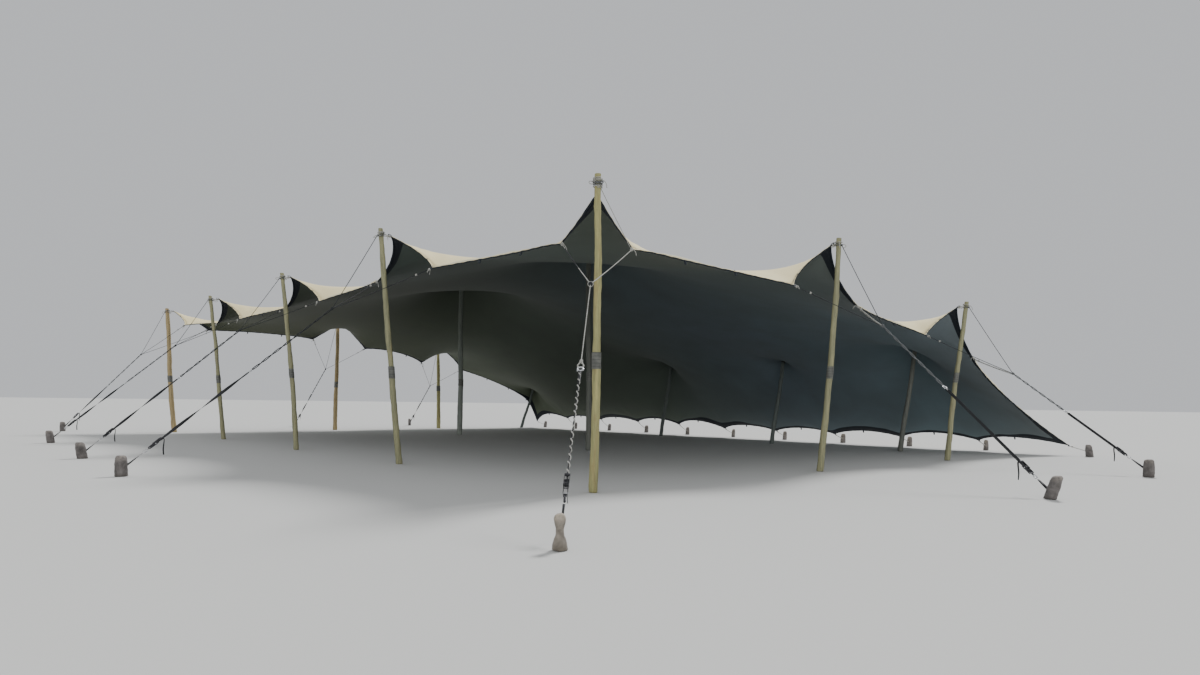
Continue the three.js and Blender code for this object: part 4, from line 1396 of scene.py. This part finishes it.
class TENT_OT_guy_ropes(bpy.types.Operator):
    """Ties the ropes from each pole's head and its bridle loops down to the hook"""

    bl_idname = "tent.guy_ropes"
    bl_label = "Guy ropes"

    def execute(self, context):
        radius = sizes().rope_radius
        for number, guy in enumerate(GUYED):
            spots = guy_points(guy)
            front = guy["name"] == "front_corner"
            strands = {"rope": [], "rope_mid": [], "rope_dark": []}
            self.head_turns(guy, spots, radius, number, strands)
            self.bridle(guy, spots, radius, number, strands)
            if front:
                eye_top = spots.hook - spots.down * 0.085
                ring = coil(spots.join, radius * 3.4, spots.out + UP * 0.3, 1.0, radius)
                strands["rope_dark"] += bunched_knot(spots.join, spots.down, radius * 2.0, radius)
                strands["rope"].append(rope_tube(ring, radius * 0.6, FINE_STEP))
                strands["rope"].append(rope_tube(sagging(spots.join, eye_top, 0.004), radius * 0.8))
                strands["rope"] += self.rope_eye(spots, eye_top, radius)
            else:
                kind = "rope_mid" if guy["name"].startswith("right") else "rope_dark"
                strands[kind] += bunched_knot(spots.join, spots.down, radius * 2.0, radius)
                strands[kind] += self.main_fall(spots, radius)
            for kind, tubes in strands.items():
                ropes = tube_piece("guy_" + guy["name"] + "_" + kind, tubes, kind)
                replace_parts(ropes, "guy_" + guy["name"])
        return {"FINISHED"}

    def bridle(self, guy, spots, radius, number, strands):
        """The two ropes from the edge loops to the junction."""
        front = guy["name"] == "front_corner"
        right = guy["name"].startswith("right")
        thin = radius * 0.8
        kinds = ["rope" if front else "rope_dark", "rope" if front or right else "rope_dark"]
        for (loop, place), kind in zip(guy["bridle"], kinds):
            way = unit(spots.join - at(place))
            end = at(place) + way * 0.07
            whole = sagging(end, spots.join, 0.012)
            # Painted shadow: on the front corner's rope from loop (1, 0), a stretch below the loop takes the
            # dark rope finish where the rope lies in shade.
            if front and loop[0] == 1:
                strands["rope_dark"].append(rope_tube(whole[1:6], thin))
                strands[kind] += [rope_tube(part, thin) for part in (whole[:2], whole[5:])]
            else:
                strands[kind].append(rope_tube(whole, thin))
                if right and kind == "rope":
                    strands[kind].append(rope_tube(whole - UP * radius * 1.8, thin))
            strands["rope"] += self.loop_ends(end, unit(spots.join - end), radius, number + loop[0] + loop[1])
            if not front:
                strands["rope"] += bunched_knot(end + way * 0.24, way, radius * 1.5, thin)

    def rope_eye(self, spots, top, radius):
        """The eye at the foot of the front rope, with the turns that close it."""
        low = spots.hook + spots.down * 0.012
        wide = spots.hook - spots.down * 0.010
        neck = (top + wide) / 2
        half, full = spots.level * 0.019, spots.level * 0.030
        shape = [top, neck + half, wide + full, low, wide - full, neck - half, top]
        closing = bunched_knot(top, spots.down, radius * 1.4, radius * 0.8)
        return [rope_tube(shape, radius * 0.9, FINE_STEP)] + closing

    def loop_ends(self, end, way, radius, seed):
        """The knot at a webbing loop, with the two loose ends of its rope."""
        tubes = bunched_knot(end, way, radius * 1.9, radius * 0.9)
        side = unit(np.cross(way, [0.1, 0.2, 1.0]))
        for k, reach in enumerate((0.085, 0.060)):
            turn = 1.3 + 2.4 * k + seed
            away = (side * math.cos(turn) + np.cross(way, side) * math.sin(turn) * 0.6) * reach
            shape = [end, end + away * 0.5 + UP * 0.012, end + away + way * 0.02 - UP * 0.012]
            shape.append(end + away * 1.15 + way * 0.03 - UP * 0.045)
            tubes.append(rope_tube(shape, radius * 0.65, LOOSE_STEP))
        return tubes

    def head_turns(self, guy, spots, radius, number, strands):
        """The turns of rope on a pole's head, with the lines to the tip and to the junction."""
        front = guy["name"] == "front_corner"
        centres, radii = guyed_pole_shape(number)
        middle, thick = along_pole(centres, radii, guy["head"][2] - 0.11)
        axis = unit(centres[-1] - centres[-3])
        thin = radius * 0.8
        hold = thick + 0.006 + thin
        turns, start = (2.3 if front else 1.3), 0.7 * number
        crossing = unit(axis + spots.out * 0.45)
        windings = [
            ("rope_mid", coil(middle - axis * 0.02, hold, axis, turns, radius * 2.0, start)),
            ("rope", coil(middle + axis * 0.035, hold, axis, turns, radius * 2.0, start)),
            ("rope_mid", coil(middle + axis * 0.01, hold + radius * 1.5, crossing, 1.1, radius * 2.2, 2.0)),
        ]
        if front:
            windings.append(("rope", coil(middle - axis * 0.055, hold, axis, 1.6, radius * 2.4, 1.0)))
        for kind, path in windings:
            strands[kind].append(rope_tube(path, thin, 0.02))
        if front:
            loop = at(guy["bridle"][-1][1])
            beside = loop + unit(spots.join - loop) * 0.08
            line = sagging(middle + unit(beside - middle) * hold, beside, 0.004)
            strands["rope"].append(rope_tube(line, radius * 0.65))
        else:
            strands["rope_dark"].append(rope_tube(sagging(middle + spots.out * hold, spots.join, 0.01), thin))
        tip = at(guy["tip"][1])
        tip_start = middle + unit((tip - middle) * [1, 1, 0.2]) * hold
        for shift in (-0.014, 0.014):
            line = sagging(tip_start + UP * shift, tip + UP * shift * 0.4, 0.002, 5)
            strands["rope"].append(rope_tube(line, thin))
        way = unit(tip_start - tip)
        strands["rope"] += bunched_knot(tip + way * 0.06, way, radius * 1.7, thin)
        reach = 0.055 if front else 0.100
        strands["rope"] += [self.loose_end(middle, hold, k, number, reach, radius) for k in range(3)]

    def loose_end(self, middle, hold, k, number, reach, radius):
        """A loose bight of the head's rope, or for the last one its hanging end."""
        turn = 0.9 + 2.1 * k + number
        away = np.array([math.cos(turn), math.sin(turn), 0])
        hang = middle + away * hold
        if k == 2:
            shape = [hang, hang + away * 0.03 + UP * 0.01, hang + away * 0.06 - UP * 0.03]
            shape.append(hang + away * 0.07 - UP * 0.085)
        else:
            side = np.cross(away, UP) * 0.018
            far = away * (reach + 0.02 * math.sin(number * 2.0 + k))
            shape = [hang, hang + far * 0.7 + side, hang + far - UP * 0.03]
            shape += [hang + far * 0.6 - side - UP * 0.045, hang - UP * 0.02]
        return rope_tube(shape, radius * 0.7, LOOSE_STEP)

    def main_fall(self, spots, radius):
        """Two falls of rope twisted about each other from the junction to the hook."""
        span = np.linalg.norm(spots.hook - spots.join)
        up = np.cross(spots.level, spots.down)
        given = (int(span / 0.03) + 2, span / 0.42, radius * 1.15, spots.level, up)
        paths = [twisted(spots.join, spots.hook, *given, phase) for phase in (0.0, math.pi)]
        return [rope_tube(path, radius * 1.05, 0.03) for path in paths]


# Ratchets and links, modelled once and copied to each guy line

def joined_pieces(pieces):
    """Several modelled parts as one object."""
    clear_selection()
    for piece in pieces:
        piece.select_set(True)
    bpy.context.view_layer.objects.active = pieces[0]
    bpy.ops.object.join()
    return bpy.context.object


def placed_copy(model, name, matrix):
    """A copy of a model with its own mesh, set in its place."""
    copy = model.copy()
    copy.data = model.data.copy()
    copy.data.transform(matrix)
    if matrix.determinant() < 0:
        copy.data.flip_normals()
    bpy.context.scene.collection.objects.link(copy)
    return own(copy, name)


def axes_matrix(origin, x, y, z):
    matrix = Matrix.Identity(4)
    for column, vector in enumerate((x, y, z, origin)):
        for row in range(3):
            matrix[row][column] = float(vector[row])
    return matrix


def block(size, location, bevel):
    """A bevelled steel plate or bar."""
    clear_selection()
    bpy.ops.mesh.primitive_cube_add(size=1, location=location)
    made = bpy.context.object
    edit_all()
    bpy.ops.transform.resize(value=size)
    bpy.ops.mesh.bevel(offset=bevel, segments=2, affect="EDGES")
    end_edit()
    freeze_place()
    made.data.materials.append(finish("dark_steel"))
    return made


def rod(radius, depth, location, bevel, finish_name, sides=20, upright=False):
    """A round bar with broken edges, along x or upright."""
    clear_selection()
    turn = (0, 0, 0) if upright else (0, math.pi / 2, 0)
    size = {"radius": radius, "depth": depth}
    bpy.ops.mesh.primitive_cylinder_add(vertices=sides, location=location, rotation=turn, **size)
    made = bpy.context.object
    modify(made, "BEVEL", width=bevel, segments=2, limit_method="ANGLE")
    freeze_place()
    made.data.materials.append(finish(finish_name))
    return made


def ratchet_model():
    """A closed ratchet buckle, its length along z and its strap through y."""
    parts = []
    for side in (-1, 1):
        parts.append(block((0.0035, 0.036, 0.150), (side * 0.029, 0.0, -0.030), 0.0015))
        parts.append(block((0.0035, 0.030, 0.135), (side * 0.0345, 0.010, 0.040), 0.0015))
        parts.append(rod(0.021, 0.004, (side * 0.0315, 0.0, 0.0), 0.001, "dark_steel", 28))
    parts.append(rod(0.0085, 0.075, (0, 0, 0), 0.001, "steel"))
    parts.append(rod(0.021, 0.046, (0, 0, 0), 0.003, "strap", 28))
    parts.append(rod(0.0055, 0.066, (0, 0, -0.095), 0.001, "steel"))
    parts.append(rod(0.0050, 0.070, (0, 0.006, -0.045), 0.001, "dark_steel"))
    parts.append(block((0.064, 0.012, 0.028), (0, 0.016, 0.096), 0.004))
    parts.append(block((0.058, 0.004, 0.040), (0, -0.004, 0.045), 0.0015))
    whole = joined_pieces(parts)
    bpy.ops.object.shade_smooth_by_angle(angle=math.radians(35))
    return whole


def link_model():
    """A long snap link, its length along z."""
    ring = {"major_radius": 0.027, "minor_radius": 0.0075, "major_segments": 36, "minor_segments": 12}
    clear_selection()
    bpy.ops.mesh.primitive_torus_add(rotation=(math.pi / 2, 0, 0), **ring)
    link = bpy.context.object
    freeze_place()
    for way, shift in ((1, 0.045), (-1, -0.035)):
        for vertex in link.data.vertices:
            vertex.select = vertex.co.z * way > 0.002
        bpy.ops.object.mode_set(mode="EDIT")
        bpy.ops.transform.translate(value=(0, 0, shift))
        end_edit()
    link.data.materials.append(finish("steel"))
    gate = rod(0.0060, 0.060, (0.027, 0.0, 0.005), 0.001, "steel", 16, True)
    collar = rod(0.0110, 0.022, (-0.027, 0.0, 0.004), 0.002, "steel", 16, True)
    whole = joined_pieces([link, gate, collar])
    bpy.ops.object.shade_smooth_by_angle(angle=math.radians(45))
    return whole


class TENT_OT_straps(bpy.types.Operator):
    """Runs the webbing strap from each hook through its ratchet to the stake"""

    bl_idname = "tent.straps"
    bl_label = "Straps and ratchets"

    def execute(self, context):
        ratchet, link = ratchet_model(), link_model()
        for guy in GUYED:
            spots = guy_points(guy)
            down, name = spots.down, "guy_" + guy["name"]
            front = guy["name"] == "front_corner"
            face = unit(np.cross(down, spots.level))
            face = face if face[2] > 0 else -face
            self.strap(guy, spots)
            x = np.cross(face, -down)
            slim = 0.66 if front else 0.84
            middle = (spots.low + spots.high) / 2
            placed_copy(ratchet, name + "_ratchet", axes_matrix(middle, x * slim, face, -down))
            hooked = axes_matrix(spots.hook + down * 0.045, x, face, -down)
            placed_copy(link, name + "_link", hooked)
            turned = axes_matrix(spots.low + down * 0.055, face * 0.6, x, -down)
            low_link = placed_copy(link, name + "_low_link", turned)
            if front:
                low_link.data.materials[0] = finish("dark_steel")
        for model in (ratchet, link):
            bpy.data.objects.remove(model)
        return {"FINISHED"}

    def strap(self, guy, spots):
        """The strap's runs, its eye at the hook and its loose tail, and the front one's wound rope."""
        front = guy["name"] == "front_corner"
        right = guy["name"].startswith("right")
        width = sizes().strap_width * (0.65 if front else 1.0)
        down, level = spots.down, spots.level
        up = np.cross(level, down)
        start, axle = spots.hook + down * 0.10, (spots.low + spots.high) / 2
        span = np.linalg.norm(axle - start)
        run = [start, axle - down * 0.02]
        if front:
            tubes = [webbing_tube(run, width * 0.55, side=level, turns=9.0, step=FINE_STEP)]
        elif right:
            tubes = [webbing_tube(run, width, side=up)]
        else:
            tubes = [webbing_tube(run, width, side=level, turns=round(span / 0.9) * 0.5)]
        tubes.append(webbing_tube([axle + down * 0.09, spots.low + down * 0.02], width, side=level))
        short = [spots.low + down * 0.095, spots.grip + down * 0.02]
        tubes.append(webbing_tube(short, width * 0.75, side=level, turns=0.25))
        seam = start + down * 0.14
        eye = [seam + up * 0.004, start + up * 0.006, start - down * 0.032]
        eye += [start - up * 0.006, seam - up * 0.004]
        tubes.append(webbing_tube(eye, width, side=level, step=FINE_STEP))
        under = -up if up[2] > 0 else up
        hang = spots.high + under * 0.020
        tail = [spots.high + down * 0.12 + under * 0.006, spots.high + down * 0.03 + under * 0.010]
        falls = ((0.010, 0.0), (0.016, 0.05), (0.008, 0.14), (0.02, STRAP_TAIL))
        tail += [hang - down * back - UP * fall for back, fall in falls]
        tubes.append(webbing_tube(tail, width * 0.45, side=level, turns=0.3, step=0.02))
        tube_piece("guy_" + guy["name"] + "_strap", tubes, "strap")
        if front:
            count = int(span * 16 / WOUND_PITCH)
            reach = 0.0095 + 0.001 * np.sin(np.linspace(0, 23, count)[:, None])
            path = twisted(start, spots.high, count, span / WOUND_PITCH, reach, level, up)
            wound = rope_tube(path, sizes().rope_radius * 0.70, 0.006)
            tube_piece("guy_front_corner_wound_rope", [wound], "rope")


# Stakes

def cover_model(radius, shoulder, height, narrow, waist=0.0, cloth="cover"):
    """A soft cover that stands over a stake's head: a tapered, flattened sleeve with a rounded, sewn top."""
    clear_selection()
    size = {"radius1": radius, "radius2": shoulder, "depth": height}
    bpy.ops.mesh.primitive_cone_add(vertices=28, location=(0, 0, height / 2), **size)
    cover = bpy.context.object
    freeze_place()
    for face in cover.data.polygons:
        face.select = face.normal.z > 0.9
    bpy.ops.object.mode_set(mode="EDIT")
    bpy.ops.mesh.select_mode(type="FACE")
    for inset, rise in ((0.004, 0.014), (0.009, 0.014), (0.014, 0.010), (0.017, 0.005)):
        bpy.ops.mesh.inset(thickness=inset, depth=rise)
    for cut in (0.06, 0.11, 0.2, 0.35, 0.5, 0.65, 0.8, 0.92):
        bpy.ops.mesh.select_all(action="SELECT")
        bpy.ops.mesh.bisect(plane_co=(0, 0, height * cut), plane_no=(0, 0, 1))
    end_edit()
    for vertex in cover.data.vertices:
        swell = cover_swell(vertex.co, height, waist)
        vertex.co.x *= swell
        vertex.co.y *= swell * narrow
    for face in cover.data.polygons:
        face.select = False
    modify(cover, "SUBSURF", levels=2, render_levels=2)
    roughen(cover, "cover_creases", 0.07, "LOCAL", 0.012)
    bpy.ops.object.shade_smooth()
    cover.data.materials.append(finish(cloth))
    low = min(vertex.co.z for vertex in cover.data.vertices)
    for vertex in cover.data.vertices:
        vertex.co.z = max(0.0, vertex.co.z - low)
    return cover


def cover_swell(point, height, waist):
    """How far a cover's cloth swells or draws in at a point: folds, a hem at its foot, and a waist."""
    z = point.z / height
    turn = math.atan2(point.y, point.x)
    swell = 1 + 0.035 * math.sin(3 * turn + 4 * z) * z + 0.03 * math.sin(5 * turn + 1) * (1 - z)
    swell += 0.05 * math.sin(z * math.pi)
    if z < 0.09:
        swell *= 1.045
    return swell * (1 - waist * math.exp(-(((z - 0.60) / 0.24) ** 2)))


def leaning_matrix(foot, out, lean, turn, tall):
    """Turns a model about its foot and leans it outwards, keeping its base on the ground."""
    shear = Matrix.Identity(4)
    shear[0][2] = float(out[0]) * lean / tall
    shear[1][2] = float(out[1]) * lean / tall
    return Matrix.Translation(Vector(foot)) @ shear @ Matrix.Rotation(turn, 4, "Z")


class TENT_OT_stakes(bpy.types.Operator):
    """Sets the covered stakes of the guy lines and of the low edge, with the ties of the hem"""

    bl_idname = "tent.stakes"
    bl_label = "Stakes and covers"

    def execute(self, context):
        tall = sizes().cover_height
        plain = cover_model(0.084, 0.079, tall - 0.045, 0.72)
        waisted = cover_model(0.071, 0.058, tall - 0.055, 0.85, 0.52, "cover_pale")
        for number, guy in enumerate(GUYED):
            spots = guy_points(guy)
            front = guy["name"] == "front_corner"
            turn = math.atan2(spots.out[1], spots.out[0]) + (0.0 if front else 0.25 * math.sin(number * 2.3))
            matrix = leaning_matrix(spots.stake, spots.out, guy["lean"], turn, tall)
            self.cover(waisted if front else plain, "stake_" + guy["name"], matrix)
        low = cover_model(0.078, 0.066, 0.230, 0.80)
        for peg in range(len(HEM_HEIGHTS)):
            self.hem_stake(low, peg)
        for model in (plain, waisted, low):
            bpy.data.objects.remove(model)
        return {"FINISHED"}

    def cover(self, model, name, matrix):
        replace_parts(placed_copy(model, name + "_cover", matrix), name)

    def hem_stake(self, model, peg):
        """One stake of the low edge with its tie: the first stands at the corner and is a little larger."""
        name = "hem_stake_%02d" % (peg + 1)
        along, across, _ = hem_loop(peg)
        if peg:
            stake = at((along, across + HEM_STAKE_OUT))
            matrix = leaning_matrix(stake, (1, 0), 0.03, 0.8 * peg, HEM_COVER_TALL)
        else:
            stake = at(CORNER_STAKE)
            matrix = leaning_matrix(stake, (-1, 0), 0.07, 1.2, HEM_COVER_TALL)
            matrix = matrix @ Matrix.Diagonal((1.15, 1.15, 1.05, 1.0))
        self.cover(model, name, matrix)
        radius = sizes().rope_radius * 0.75
        loop = at(hem_loop(peg))
        start = loop + unit(stake - loop) * 0.06
        grip = stake + UP * 0.12
        sides = [np.array([0, s, 0]) for s in (-0.009, 0.009)]
        tubes = [rope_tube(sagging(start + side, grip + side, 0.006, 5), radius) for side in sides]
        tubes += bunched_knot(start + unit(grip - start) * 0.04, grip - start, radius * 1.8, radius)
        tube_piece(name + "_tie", tubes, "rope")


# Studio

class TENT_OT_stage(bpy.types.Operator):
    """Sets the camera, the pale floor and the soft lights"""

    bl_idname = "tent.stage"
    bl_label = "Camera, floor and lights"

    def execute(self, context):
        scene = context.scene
        self.camera(scene)
        clear_selection()
        bpy.ops.mesh.primitive_circle_add(vertices=96, radius=400.0, fill_type="NGON")
        floor = bpy.context.object
        floor.name = "floor"
        floor.data.materials.append(finish("floor"))
        self.sun("soft_key", (44, 0, 104), 3.0, 14)
        self.sun("low_fill", (84, 0, -42), 1.3, 30)
        world = bpy.data.worlds.new("studio")
        world.use_nodes = True
        sky = world.node_tree.nodes["Background"]
        sky.inputs[0].default_value = (0.80, 0.82, 0.85, 1.0)
        sky.inputs[1].default_value = 0.75
        scene.world = world
        return {"FINISHED"}

    def camera(self, scene):
        level = Vector((*VIEW_TOWARDS, 0)).normalized()
        level_right = Vector((level.y, -level.x, 0))
        facing = level * math.cos(VIEW_PITCH) + Vector((0, 0, 1)) * math.sin(VIEW_PITCH)
        upright = level_right.cross(facing)
        right = level_right * math.cos(VIEW_ROLL) + upright * math.sin(VIEW_ROLL)
        up = upright * math.cos(VIEW_ROLL) - level_right * math.sin(VIEW_ROLL)
        view = bpy.data.cameras.new("front_view")
        view.sensor_fit = "HORIZONTAL"
        view.sensor_width = 36.0
        view.lens = VIEW_LENS
        view.clip_end = 1000.0
        camera = bpy.data.objects.new("front_view", view)
        camera.matrix_world = axes_matrix(VIEW_FROM, right, up, -facing)
        scene.collection.objects.link(camera)
        scene.camera = camera

    def sun(self, name, degrees, strength, spread):
        light = bpy.data.lights.new(name, "SUN")
        light.energy = strength
        light.angle = math.radians(spread)
        lamp = bpy.data.objects.new(name, light)
        lamp.rotation_euler = [math.radians(turn) for turn in degrees]
        bpy.context.scene.collection.objects.link(lamp)


OPERATORS = (
    TENT_OT_stage,
    TENT_OT_binding,
    TENT_OT_guyed_poles,
    TENT_OT_inner_poles,
    TENT_OT_canopy,
    TENT_OT_guy_ropes,
    TENT_OT_straps,
    TENT_OT_stakes,
)


class TENT_PT_pieces(bpy.types.Panel):
    """Lists the tent's pieces and the sizes and colours that can be changed"""

    bl_label = "Stretch tent"
    bl_idname = "TENT_PT_pieces"
    bl_space_type = "VIEW_3D"
    bl_region_type = "UI"
    bl_category = "Tent"

    def draw(self, context):
        for operator in OPERATORS:
            self.layout.operator(operator.bl_idname)
        for group in (context.scene.tent_sizes, context.scene.tent_colours):
            for name in group.__annotations__:
                self.layout.prop(group, name)


CLASSES = (TentSizes, TentColours, *OPERATORS, TENT_PT_pieces)


def register():
    for one in CLASSES:
        bpy.utils.register_class(one)
    bpy.types.Scene.tent_sizes = PointerProperty(type=TentSizes)
    bpy.types.Scene.tent_colours = PointerProperty(type=TentColours)


def unregister():
    del bpy.types.Scene.tent_colours
    del bpy.types.Scene.tent_sizes
    for one in reversed(CLASSES):
        bpy.utils.unregister_class(one)


def main():
    register()
    bpy.ops.tent.stage()
    bpy.ops.tent.binding()
    bpy.ops.tent.guyed_poles()
    bpy.ops.tent.inner_poles()
    bpy.ops.tent.canopy()
    bpy.ops.tent.guy_ropes()
    bpy.ops.tent.straps()
    bpy.ops.tent.stakes()


if __name__ == "__main__":
    main()
